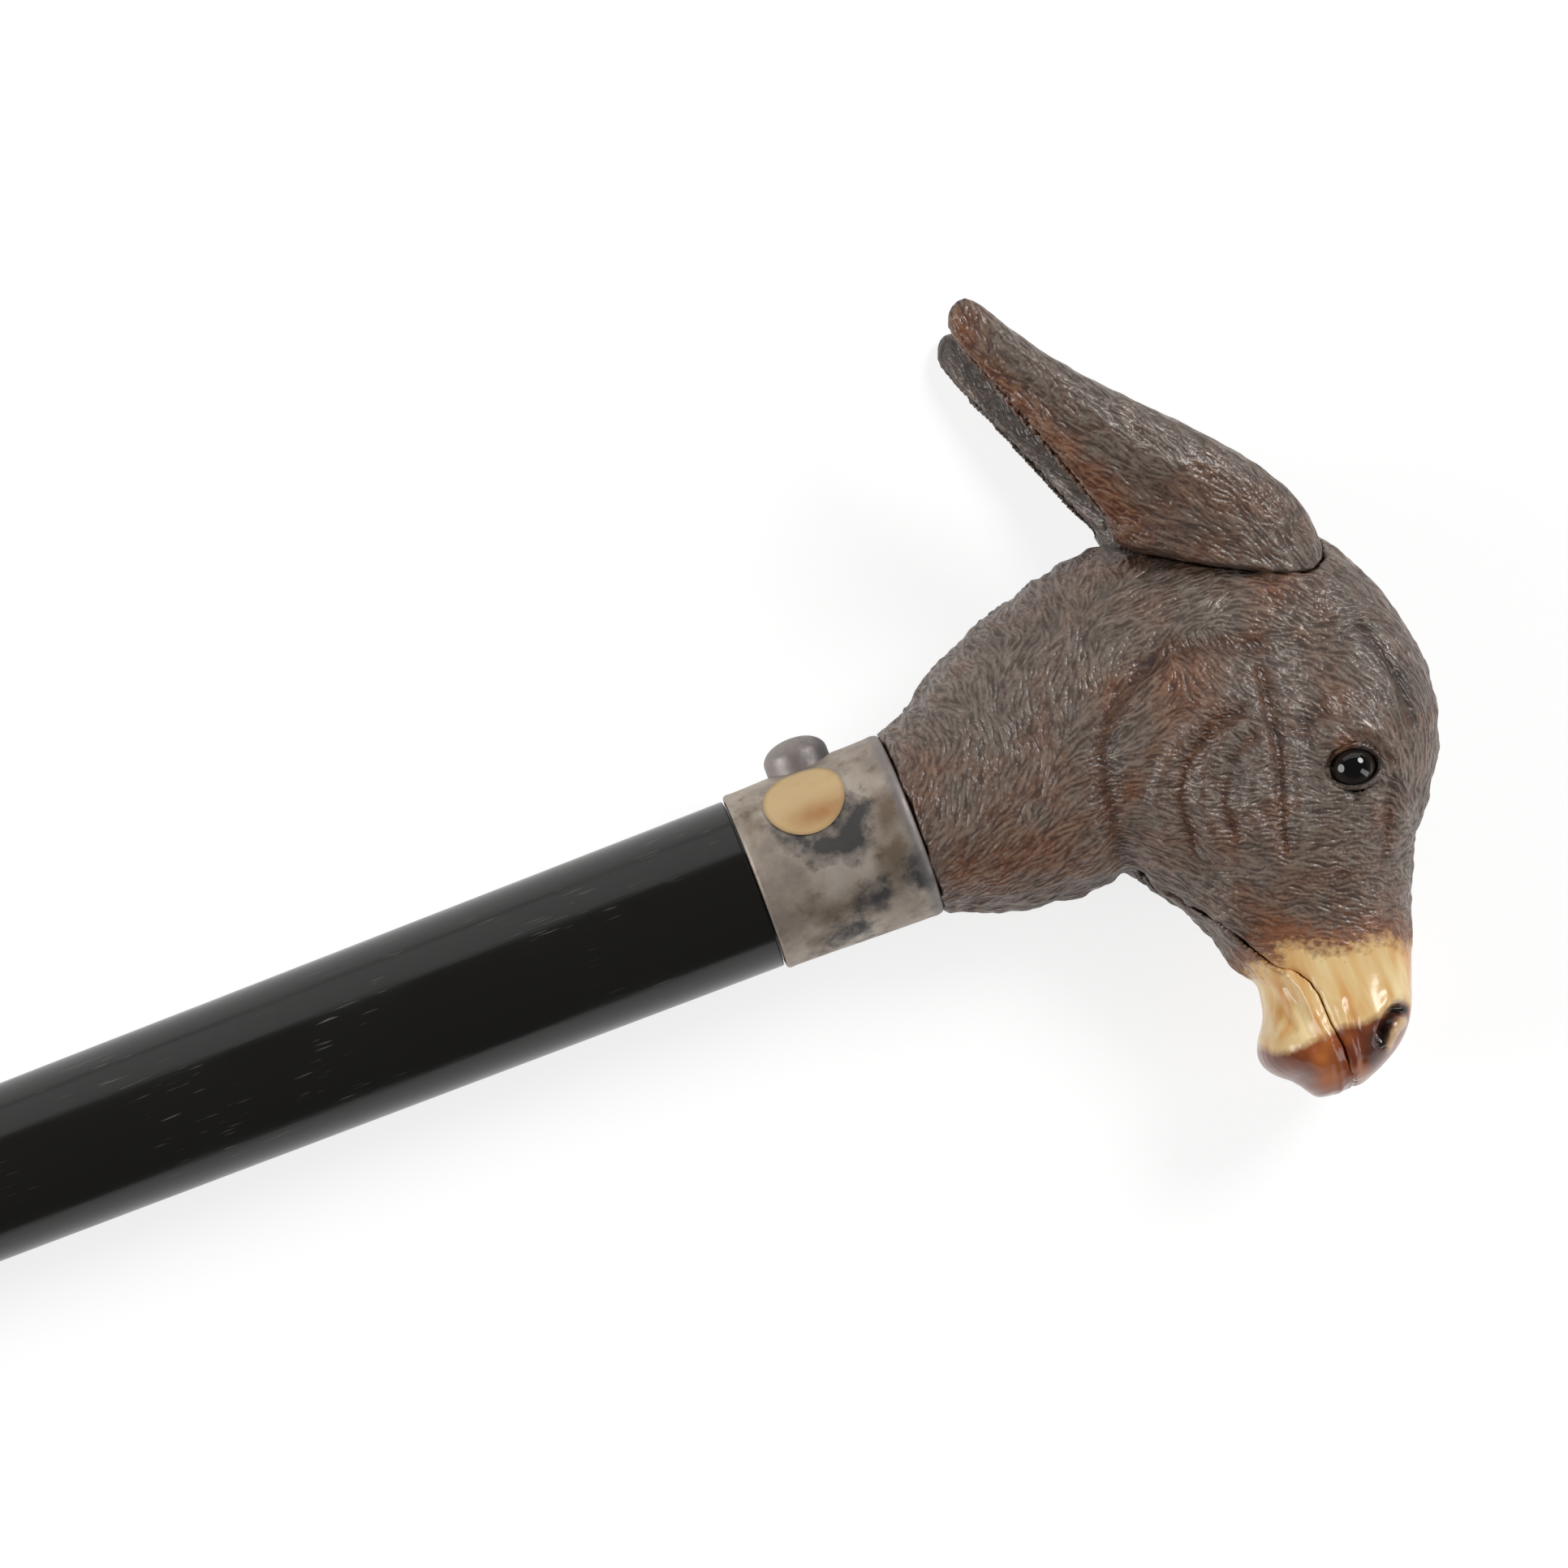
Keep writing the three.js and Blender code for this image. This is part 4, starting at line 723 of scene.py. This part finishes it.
# Direction of the coat: x, y and angle in the cane's own frame
coatGuide = [
    (35.7, 22.4, 79), (25.9, 22.1, 104), (17.6, 20.2, 109), (6.8, 14.7, 119), (22.7, 13.7, 41),
    (27.2, 10.9, 64),
    (17.4, 6.6, 84), (7.5, 0.7, 57), (16.4, -2.7, 41), (9.1, -8.5, 24), (19.4, -14.5, 17), (36.0, 15.2, 4),
    (42.9, 13.5, 9), (41.5, 5.9, 94), (34.4, 4.6, 29), (30.3, 0.6, 9), (26.1, -3.9, -11), (38.0, -5.9, -46),
    (39.9, -14.3, -16), (50.1, -20.7, -16), (52.3, -28.2, -29), (64.4, -3.4, -71), (62.0, 3.6, -11),
    (55.0, 5.3, -36), (50.6, 0.4, -41), (56.0, -5.2, -56), (30.7, -18.3, -43), (33.4, -24.5, -36),
    (59.8, 11.1, -51), (65.5, 8.9, -66), (64.5, -13.6, -96), (44.8, -4.0, -56), (31.0, -10.9, -31),
    (48.2, -12.4, -31), (41.7, -22.6, -26),
]
earGuide = [
    (30.2, 59.8, 84), (30.3, 55.2, 99), (35.0, 47.7, 117), (42.4, 37.3, 124), (46.5, 28.1, 127),
    (44.5, 23.2, 139),
    (51.1, 20.7, 129), (57.7, 18.1, 109), (61.3, 22.4, 104), (52.3, 33.5, 129),
]

# Furrows and ridges: points, half width and rise in mm
furrows = [
    # round the jowl
    ([(24, -17.5), (23.8, -10.8), (24.3, -5.8), (25.8, -0.8), (27.8, 2.2), (30.8, 5.2), (34.8, 7.6),
      (38.8, 8.4),
      (42.8, 8), (46.8, 6.6), (49.5, 4.8)], 1.5, -0.8),
    # folds of the cheek
    ([(29.8, -14.5), (30.2, -8.7), (33.1, -5.2), (38, -1.9), (43.4, 0.1)], 1.0, 0.7),
    ([(32.8, -16.5), (32.8, -11), (34.8, -7), (39.6, -3.4), (44.5, -2.4)], 0.9, -0.7),
    ([(35.6, -17), (35.6, -11.7), (37, -8), (41.5, -4.7), (45.3, -4)], 1.0, 0.7),
    ([(38.3, -17.5), (38, -13), (40.8, -8.2), (44.6, -6.4)], 0.9, -0.6),
    ([(41.2, -18.8), (40.8, -14.6), (43.4, -10.4), (45.6, -8.6)], 0.9, 0.55),
    ([(43.5, -21.5), (45.3, -15.3), (46.8, -10.8), (47.9, -5.2), (49, 1.5)], 1.0, -0.75),
    ([(46.3, -20), (47.8, -14.8), (49.3, -9.5), (50.5, -4.5)], 0.9, 0.4),
    # nose side, forehead, brow and below the eye
    ([(56.1, -26.5), (58, -21.2), (59.7, -18.4)], 0.8, -0.5),
    ([(63.4, 2.6), (64.9, -2), (65.5, -6.4), (65, -12)], 0.8, -0.6),
    ([(57, -5.2), (58.3, -9.8), (60.4, -11.6), (61.3, -14.2), (61, -17)], 1.1, 0.8),
    ([(55.0, -17.4), (54.5, -19)], 0.45, -0.6),
    ([(50.5, -8.4), (52.7, -6.6), (55, -6.4)], 1.4, -0.5),
    # lower lip, its folds and the chin
    ([(34.5, -36.3), (35.7, -37.8), (36.2, -39.3), (36.3, -41.7), (36.5, -43.5)], 0.7, -0.4),
    ([(37.7, -38.2), (38.1, -40.5), (37.9, -43.2), (38.2, -45.5), (38.4, -48)], 0.6, -0.3),
    ([(38.6, -37.0), (39.5, -39.1), (39.7, -41.6), (39.7, -43.5), (40.2, -46), (40.2, -49.5), (39.9, -53)],
     0.6, 0.45),
    ([(35.2, -50.4), (36.2, -51.4)], 1.2, -0.3),
    # upper lip and nostril
    ([(43.3, -42.5), (43.1, -44.2), (42.9, -46), (42.9, -47.8), (42.7, -49.8), (41.9, -52)], 0.7, 0.5),
    ([(44.4, -45), (44.0, -46.6), (43.7, -48.8), (43.6, -50.8)], 0.55, -0.4),
    ([(48.9, -43.4), (48.0, -45.0), (46.8, -46.4)], 0.6, -0.15),
    ([(51.3, -46.5), (50.2, -46.2), (49.0, -46.7), (47.8, -47.8), (47.0, -49.0)], 0.8, -2.2),
    ([(50.5, -47.8), (49.1, -48.4), (48.0, -49.3), (47.3, -50.2)], 0.55, 0.45),
    ([(52.4, -44.4), (50, -44.3), (47.8, -45.3), (46.0, -47.6)], 0.8, 0.15),
]
swellings = [  # centre, reach, rise
    ((34.2, -46.2), 2.8, 0.8), ((38.0, -53.3), 1.8, 0.5), ((55.8, -14.4), 5.0, 0.35),
    ((44.5, 10.4), 3.2, 0.5),
    ((60.5, -5), 3.5, 0.4), ((51.5, -14.5), 2.2, -0.4), ((71.3, -9), 6, -0.3),
]
earFurrows = [
    ([(28, 57.5), (28.8, 54), (30.3, 49.5), (32.6, 43.6), (34.8, 38.6), (37, 33.2), (39, 28.6)], 0.9, 0.35),
    ([(30.3, 57), (31.4, 52.5), (33.6, 47), (36.6, 41), (39.5, 35.4), (42.5, 30.5), (45.5, 27)], 1.3, -0.3),
    ([(33, 55.5), (36.6, 49), (39.4, 43), (42.4, 37), (45.4, 32.5), (49, 30)], 1.2, 0.4),
]
earRim = [(27.8, 58), (28.4, 54), (30, 49), (32.2, 43.6), (34.2, 38.6), (36.3, 33.6), (38.2, 29.5), (39, 26)]

# the jaw's parting line along the cheek and the lips
jawSeam = [
    (26.7, -22), (30.4, -24), (33, -27.6), (35.3, -31.8), (37.5, -35.4), (39.5, -36.8), (40.6, -38.6),
    (41.1, -40.8), (41.1, -44.8), (41.5, -47.8), (41.5, -50.3), (41.7, -55),
]
muzzleCorners = [
    (26, -37.5), (34.2, -35.4), (35.0, -34.0), (36.6, -33.9), (37.8, -35.2), (38.5, -34.5), (38.4, -33.3),
    (40.1, -33.2), (41.2, -33.6), (42.4, -34.9), (44.0, -35.5), (46.3, -36.3), (49.2, -36.5), (51.8, -36.9),
    (53.3, -37.7), (54.8, -39.1), (62, -40), (62, -60), (26, -60),
]
lipCorners = [
    (28, -43.5), (32.0, -43.6), (32.3, -44.4), (33.1, -45.6), (34.7, -46.3), (36.7, -46.2), (37.8, -46.0),
    (39.5, -46.1), (41.7, -45.6), (42.7, -45.6), (44.1, -46.1), (45.4, -46.3), (46.6, -46.0), (47.9, -46.0),
    (49.1, -45.6), (50.8, -45.2), (52.4, -46.4), (55, -48), (58, -60), (28, -60),
]
nostrilLine = [(51.4, -46.6), (50.2, -46.2), (49.0, -46.7), (47.8, -47.8), (47.0, -49.0), (46.6, -49.7)]
nostrilLip = [(50.6, -47.9), (49.2, -48.5), (48.1, -49.4), (47.5, -50.2)]
# painted shade on the lips and under the chin knob: x, y, reach, strength
lipShadows = [(46.0, -48.5, 1.5, 0.9), (45.2, -50.8, 1.4, 0.8), (47.2, -46.6, 0.9, 0.5),
              (33.6, -46.6, 1.6, 0.35)]
# painted highlights along the lips: x, y, reach, strength
paintedLipHighlights = [
    (38.6, -48.5, 1.5, 0.9), (38.8, -51.5, 1.6, 0.9), (39.8, -46.8, 1.2, 0.6), (43.3, -52.6, 1.4, 0.8),
    (49.8, -51, 1.5, 0.6), (42.5, -47.5, 0.8, 0.4),
]
redSpots = [  # x, y, reach, strength
    (8, -9.5, 5, 0.5), (16, -11, 5, 0.5), (3, -9, 3, 0.4), (4.3, 5.5, 3, 0.45), (41.5, 5.6, 3.5, 0.75),
    (36.5, 4.2, 3, 0.7), (38.9, 0.3, 2.5, 0.6), (27.6, -6.5, 2.5, 0.35), (28.4, -14.9, 3, 0.5),
    (53.6, 10.9, 3, 0.5),
    (57.4, 11.5, 2.5, 0.4), (56.5, -4.5, 2.5, 0.45), (55.4, -11.1, 1.0, 1.2), (36.3, -16.9, 2.5, 0.4),
    (45.2, -16.3, 2, 0.4), (57.2, -22, 1.5, 0.5), (37.8, 11.9, 3, 0.3), (17.7, 3.4, 3, 0.3),
    (37.6, -29, 2.6, 0.9),
    (36.6, -25, 2, 0.6),
]
greySpots = [
    (44, 10.5, 4.5, 0.7), (34.3, 11, 4, 0.4), (14, 11, 7, 0.35), (25.4, 14.2, 5, 0.3), (62.5, -1.6, 3.5, 0.6),
    (67.9, -7.3, 4, 0.5), (25.6, -1.2, 2.5, 0.4), (41.2, -10.7, 4, 0.35), (50.6, -15.5, 4.5, 0.6),
    (25.4, -18.8, 4, 0.4),
]
# patches of painted shade under the ears and on forehead, brow, nape and cheek: x, y, reach, strength
paintedShadeSpots = [
    (50.8, -6, 4.5, 0.3), (63, 1, 7, 0.32), (54.6, 17, 6, 0.3), (26, 20, 7, 0.25), (47.7, -30, 3, 0.15),
    (39, 3.4, 3.5, 0.22), (42, 19.5, 4, 0.55),
]


def spotsAt(x, y, spots):
    return sum(most * np.exp(-((x - cx) ** 2 + (y - cy) ** 2) / reach ** 2) for cx, cy, reach, most in spots)


# Points along the sharp edges of the solid's form
def cutEdges(piece, degrees=48):
    mesh = bmesh.new()
    mesh.from_mesh(piece.data)
    back = caneFrame.inverted()
    spots = []
    for edge in mesh.edges:
        if len(edge.link_faces) == 2 and edge.calc_face_angle() > math.radians(degrees):
            a, b = (back @ v.co / mm for v in edge.verts)
            steps = max(2, int((a - b).length / 0.4))
            spots += [a.lerp(b, i / steps) for i in range(steps + 1)]
    mesh.free()
    tree = KDTree(len(spots))
    for i, spot in enumerate(spots):
        tree.insert(spot, i)
    tree.balance()
    return tree


# Each round pulls every point towards its neighbours and pushes it back a little more, which keeps the size.
def smoothForm(piece, points, weight, rounds):
    a, b = np.array([e.vertices[:] for e in piece.data.edges]).T
    size = len(points)
    count = np.bincount(np.r_[a, b], minlength=size)
    for factor in [0.6, -0.63] * rounds:
        near = [np.bincount(a, points[b, k], size) + np.bincount(b, points[a, k], size) for k in range(3)]
        points = points + factor * weight[:, None] * (np.stack(near, 1) / count[:, None] - points)
    return points


# 1 for points that face the open, 0 for those that face another wall of the piece
def openSky(piece, reach=9):
    tree = BVHTree.FromObject(piece, bpy.context.evaluated_depsgraph_get())
    vertices = piece.data.vertices
    free = [tree.ray_cast(v.co + v.normal * 0.05 * mm, v.normal, reach * mm)[0] is None for v in vertices]
    return np.array(free, float)


def carve(piece, guide, isHead, voxel, side=1):
    s = carving
    edges = cutEdges(piece)
    useModifier(piece, "REMESH", mode="VOXEL", voxel_size=voxel * mm)
    points = canePoints(piece)
    near = np.array([edges.find(p)[2] for p in points])
    weight = np.clip((near - 0.35) / s["edgeReach"], 0.03, 1)
    points = smoothForm(piece, points, weight, s["smoothing"])
    setCanePoints(piece, points)

    outside = openSky(piece)
    normals = caneNormals(piece)
    x, y = points[:, 0], points[:, 1]
    rise = np.zeros(len(points))
    for line, width, height in furrows if isHead else earFurrows:
        rise += height * np.exp(-(lineDistance(x, y, line) / width) ** 2)
    for (cx, cy), reach, height in swellings if isHead else []:
        rise += height * np.exp(-((x - cx) ** 2 + (y - cy) ** 2) / reach ** 2)
    if isHead:
        beside = np.exp(-(lineDistance(x, y, jawSeam) / s["seamReach"]) ** 2)
        beside = beside * np.clip((-y - s["seamStart"]) / 3, 0, 1)
        points = points + normals * (np.interp(-y, *s["seamCloser"]) * beside)[:, None]
    points = points + normals * (rise * outside)[:, None]
    setCanePoints(piece, points)
    normals = caneNormals(piece)
    flow, double = flowAt(points, normals, guide)

    x, y = points[:, 0], points[:, 1]
    none = np.zeros(len(x))
    muzzle = insideDistance(x, y, muzzleCorners) if isHead else none - farAway
    lip = insideDistance(x, y, lipCorners) if isHead else none - farAway
    polish = np.clip((muzzle + 0.9) / 1.8, 0, 1)
    tufts = strokes(points, flow, s["tuftWidth"], s["tuftLength"], 11)
    edgeOn = 1 - np.abs(normals[:, 2])
    edgeRise = s["edgeTuftRise" if isHead else "earTuftRise"]
    tuftRise = s["tuftRise"] + edgeRise * np.clip(edgeOn * 1.6 - 0.5, 0, 1)
    points = points + normals * (tufts * tuftRise * outside * (1 - polish))[:, None]
    setCanePoints(piece, points)
    if isHead:
        red = spotsAt(x, y, redSpots) - spotsAt(x, y, greySpots) + np.clip(-rise, 0, 0.8)
        dark = spotsAt(x, y, paintedShadeSpots)
        nostril = np.clip(1.6 - lineDistance(x, y, nostrilLine) / 0.6, 0, 1)
        pale = np.clip(1.6 - lineDistance(x, y, nostrilLip) / 0.55, 0, 1) * (1 - nostril)
    else:
        # the left ear, seen behind the other, is greyer and has a band of painted shadow along the other
        # ear's rim; the right ear gets painted shade near its base
        rim = lineDistance(x, y, earRim)
        nostril = pale = none
        if side > 0:
            red = np.exp(-(rim / 3) ** 2) * 1.1 - 0.15 + 0.4 * np.exp(-((y - 22) / 7) ** 2)
            dark = 0.25 * np.exp(-((y - 21) / 8) ** 2)
        else:
            red = none - 0.15
            dark = np.exp(-((rim - 1.9) / 1.9) ** 4)
    # shade is painted shade: the spots and the ears' bands, and darker where the furrows and tufts sink
    storeValues(
        piece, flowCos=double[0], flowSin=double[1], polish=polish, muzzleEdge=muzzle, lipEdge=lip,
        nostril=nostril, nostrilPale=pale, redness=red, lipDark=np.clip(spotsAt(x, y, lipShadows), 0, 1),
        lipWarm=np.clip(spotsAt(x, y, paintedLipHighlights), 0, 1),
        shade=np.clip(dark - rise * 0.9 - tufts * 0.3, 0, 0.9) * (1 - 0.75 * polish),
        frontEdge=np.clip((x + s["frontLean"] * (y + 40) - s["frontStart"]) / s["frontFade"], 0, 1)
        * s["frontMost"] * polish * (lip < 0),
    )


# Eyes: the wood is hollowed round the eyeball, and a ring of wood, the lids, lies on it
eyeSizes = {
    "radius": 3.2, "turn": -11, "lidAcross": 3.55, "lidUp": 2.75, "lidThickness": 0.42, "lidGap": 0.06,
    "hollowAcross": 4.0, "hollowUp": 3.05, "hollowTop": 2.45, "hollowDepth": 2.2, "cornerAngle": 2.0,
}


def eyeCentre(side):
    low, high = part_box("eye_right" if side > 0 else "eye_left")
    return caneFrame.inverted() @ ((Vector(low) + Vector(high)) / 2) / mm


def hollowOrbit(head, side):
    s = eyeSizes
    points = canePoints(head)
    local = points - np.array(eyeCentre(side))
    turn = math.radians(s["turn"])
    u = (local[:, 0] * math.cos(turn) + local[:, 1] * math.sin(turn)) / s["hollowAcross"]
    v = (local[:, 1] * math.cos(turn) - local[:, 0] * math.sin(turn)) / s["hollowUp"]
    depth = np.sqrt(np.clip(1 - u * u - v * v, 0, 1))
    bowl = s["hollowTop"] - s["hollowDepth"] * depth
    height = local[:, 2] * side
    inside = (depth > 0) & (height > bowl)
    points[:, 2] = np.where(inside, points[:, 2] - side * (height - bowl), points[:, 2])
    setCanePoints(head, points)


def makeLids(side):
    s = eyeSizes
    lid = newPiece("torus", "lid", major_segments=96, minor_segments=20, major_radius=1, minor_radius=0.1)
    points = np.array([v.co[:] for v in lid.data.vertices])
    angle = np.arctan2(points[:, 1], points[:, 0])
    thickness = s["lidThickness"] * (1 + 0.2 * np.sin(angle + 0.6))
    across = (np.hypot(points[:, 0], points[:, 1]) - 1) / 0.1 * thickness
    upward = points[:, 2] / 0.1 * thickness
    reach = np.hypot(np.cos(angle) * s["lidAcross"], np.sin(angle) * s["lidUp"])
    height = np.sqrt((s["radius"] + thickness + s["lidGap"]) ** 2 - reach ** 2)
    turn = math.radians(s["turn"])
    ring = np.c_[s["lidAcross"] * np.cos(angle) + across * np.cos(angle),
                 s["lidUp"] * np.sin(angle) + across * np.sin(angle)]
    ring = np.c_[ring[:, 0] * math.cos(turn) - ring[:, 1] * math.sin(turn),
                 ring[:, 0] * math.sin(turn) + ring[:, 1] * math.cos(turn), side * (height + upward)]
    setCanePoints(lid, ring + np.array(eyeCentre(side)))
    if side < 0:
        editAll(lid, lambda: bpy.ops.mesh.flip_normals())
    none = np.zeros(len(points))
    # the lids' inner edge, next to the eyeball, gets painted shade; the orange corner is the wood's own
    # colour
    corner = np.exp(-((angle - s["cornerAngle"]) / 0.5) ** 2)
    inner = np.clip(0.6 - across / thickness, 0, 1)
    absent = ("flowSin", "polish", "nostril", "nostrilPale", "lipDark", "lipWarm", "frontEdge")
    storeValues(
        lid, **dict.fromkeys(absent, none), flowCos=none + 1, muzzleEdge=none - farAway,
        lipEdge=none - farAway,
        redness=0.1 + 1.4 * corner, shade=np.clip(0.2 + 0.8 * inner - 0.3 * corner, 0, 1),
    )
    return lid


head = copyNode("head", "head_carved")
carve(head, coatGuide, True, 0.48)
lids = []
for side in (1, -1):
    hollowOrbit(head, side)
    lids.append(makeLids(side))
bpy.ops.object.select_all(action="DESELECT")
for piece in [*lids, head]:
    piece.select_set(True)
bpy.context.view_layer.objects.active = head
bpy.ops.object.join()
standFor(head, "cane", wood, "head", 180)
print("head carved, triangles", 2 * len(head.data.polygons))

for node, body, side in (("lower_jaw", "jaw", 1), ("ear_right", "ears", 1), ("ear_left", "ears", -1)):
    isJaw = body == "jaw"
    piece = copyNode(node, node + "_carved")
    carve(piece, coatGuide if isJaw else earGuide, isJaw, 0.3, side)
    standFor(piece, body, wood, node, 180)
    print(node, "carved, triangles", 2 * len(piece.data.polygons))

for side, name in ((1, "right"), (-1, "left")):
    centre = eyeCentre(side)
    eye = newPiece("uv_sphere", "eye_" + name + "_glass", segments=64, ring_count=32,
                   radius=eyeSizes["radius"] * mm)
    placeInRow(eye, Matrix.Translation(centre * mm))
    local = (canePoints(eye) - np.array(centre)) / eyeSizes["radius"]
    iris = np.hypot(local[:, 0] / 1.12, local[:, 1]) / 0.8
    storeValues(eye, iris=np.where(local[:, 2] * side > 0, iris, 1))
    standFor(eye, "cane", glass, "eye_" + name, 180)
print("eyes made")

# The button's spring, with a mesh of its own
spring = copyNode("button_spring", "button_spring_wound")
low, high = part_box("button_spring")
standFor(spring, "cane", steel, "button_spring", 50)
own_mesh(spring)
print("spring made")

# Inner pieces keep their solids and get their finish
inner = [
    (steel, ["joining_dowel", "crank_pin", "jaw_pin", "rocker_pin", "ear_pin", "button_stem", "push_rod"]),
    (brass, ["rod_guide_rear", "rod_guide_front", "spring_seat", "bell_crank", "jaw_lever", "ear_rocker",
             "ear_lever_right", "ear_lever_left"]),
    (bone, ["upper_teeth", "lower_teeth"]),
    (redWood, ["tongue"]),
]
for material, nodes in inner:
    for node in nodes:
        for materialSlot in frame["nodes"][node].material_slots:
            materialSlot.link = "OBJECT"
            materialSlot.material = material
print("inner pieces finished")

# Floor: pale paper, shown almost white to the camera with the soft shadow kept
floorLook = {"size": 6, "x": 0.85, "shownWhite": 0.7, "white": 1.145, "mirrored": 0.5}  # m, m and shares
look = floorLook
floor = newPiece("plane", "studio_floor", size=look["size"], location=(look["x"], 0, cadBox[0][2]))
bpy.ops.object.transform_apply(location=True, rotation=True, scale=True)
material, tree, shader, _, _ = newMaterial("studio_paper_matte")
connect(tree, shader, {"Base Color": "#f2f2f1", "Roughness": 0.9})
rays = add(tree, "LightPath")
mirrored = add(tree, "Math", {0: (rays, "Is Glossy Ray"), 1: look["mirrored"]}, operation="MULTIPLY")
seen = add(tree, "Math", {0: (rays, "Is Camera Ray"), 1: (rays, "Is Transmission Ray")}, operation="MAXIMUM")
share = add(tree, "Math", {0: seen, 1: look["shownWhite"], 2: mirrored}, operation="MULTIPLY_ADD")
white = add(tree, "Emission", {"Strength": look["white"]})
mixed = add(tree, "MixShader", {0: share, 1: shader, 2: white})
connect(tree, tree.nodes["Material Output"], {"Surface": mixed})
floor.data.materials.append(material)

# Studio: the camera sees white, and everything else is lit dimly from all sides
world = bpy.data.worlds.new("studio")
bpy.context.scene.world = world
world.use_nodes = True
tree = world.node_tree
rays = add(tree, "LightPath")
dim = add(tree, "Background", {"Color": (1, 1, 1, 1), "Strength": 0.12})
white = add(tree, "Background", {"Color": (1, 1, 1, 1), "Strength": 1.0})
mixed = add(tree, "MixShader", {0: (rays, "Is Camera Ray"), 1: dim, 2: white})
connect(tree, tree.nodes["World Output"], {"Surface": mixed})

# Lamps: offset from the head to the picture's right, up and towards the camera, width and height, all in m,
# and power in W
lampSizes = {
    "key": ((0.55, 0.5, 0.75), 0.45, 0.45, 6.8),
    "wall": ((-0.2, 1.05, 0.5), 1.9, 1.0, 5.2),
    "fill": ((-0.85, -0.1, 0.45), 0.6, 0.6, 5.2),
    "low": ((0.85, -0.4, 0.5), 0.35, 0.9, 2.8),
}
pictureTurn = math.radians(21.05)  # the cane's angle in the picture
right = Vector((math.cos(pictureTurn), -math.sin(pictureTurn), 0))
up = Vector((math.sin(pictureTurn), math.cos(pictureTurn), 0))
aim = Vector((40, 0, 5)) * mm

for name, ((across, above, near), width, height, power) in lampSizes.items():
    lamp = bpy.data.lights.new("lamp_" + name, "AREA")
    lamp.shape = "DISK" if width == height else "RECTANGLE"
    lamp.size = width
    lamp.size_y = height
    lamp.energy = power
    holder = bpy.data.objects.new("lamp_" + name, lamp)
    holder.visible_diffuse = name != "wall"
    bpy.context.scene.collection.objects.link(holder)
    local = aim + right * across + up * above + Vector((0, 0, near))
    holder.location = caneFrame @ local
    toward = (caneFrame @ aim) - holder.location
    holder.rotation_mode = "QUATERNION"
    holder.rotation_quaternion = toward.to_track_quat("-Z", "Y")

# Camera: a long lens 0.77 m above the collar, a little towards the shaft and the muzzle side
cameraSizes = {  # mm and degrees
    "target": (-13.98, 10.88, 0), "distance": 770, "towardShaft": 2.2, "towardMuzzle": 3.0, "lens": 132.85,
}
s = cameraSizes
back = Vector((-math.sin(math.radians(s["towardShaft"])), -math.sin(math.radians(s["towardMuzzle"])), 0))
back.z = math.sqrt(1 - back.x ** 2 - back.y ** 2)
data = bpy.data.cameras.new("camera")
data.lens = s["lens"]
data.sensor_width = 36
camera = bpy.data.objects.new("camera", data)
bpy.context.scene.collection.objects.link(camera)
depth = -back
level = depth.cross(up).normalized()
upright = level.cross(depth)
turn = Matrix((level, upright, back)).transposed().to_4x4()
place = Matrix.Translation((Vector(s["target"]) + back * s["distance"]) * mm)
camera.matrix_world = caneFrame @ place @ turn
bpy.context.scene.camera = camera

bpy.context.scene.view_settings.view_transform = "Standard"
print("floor, lamps and camera set")
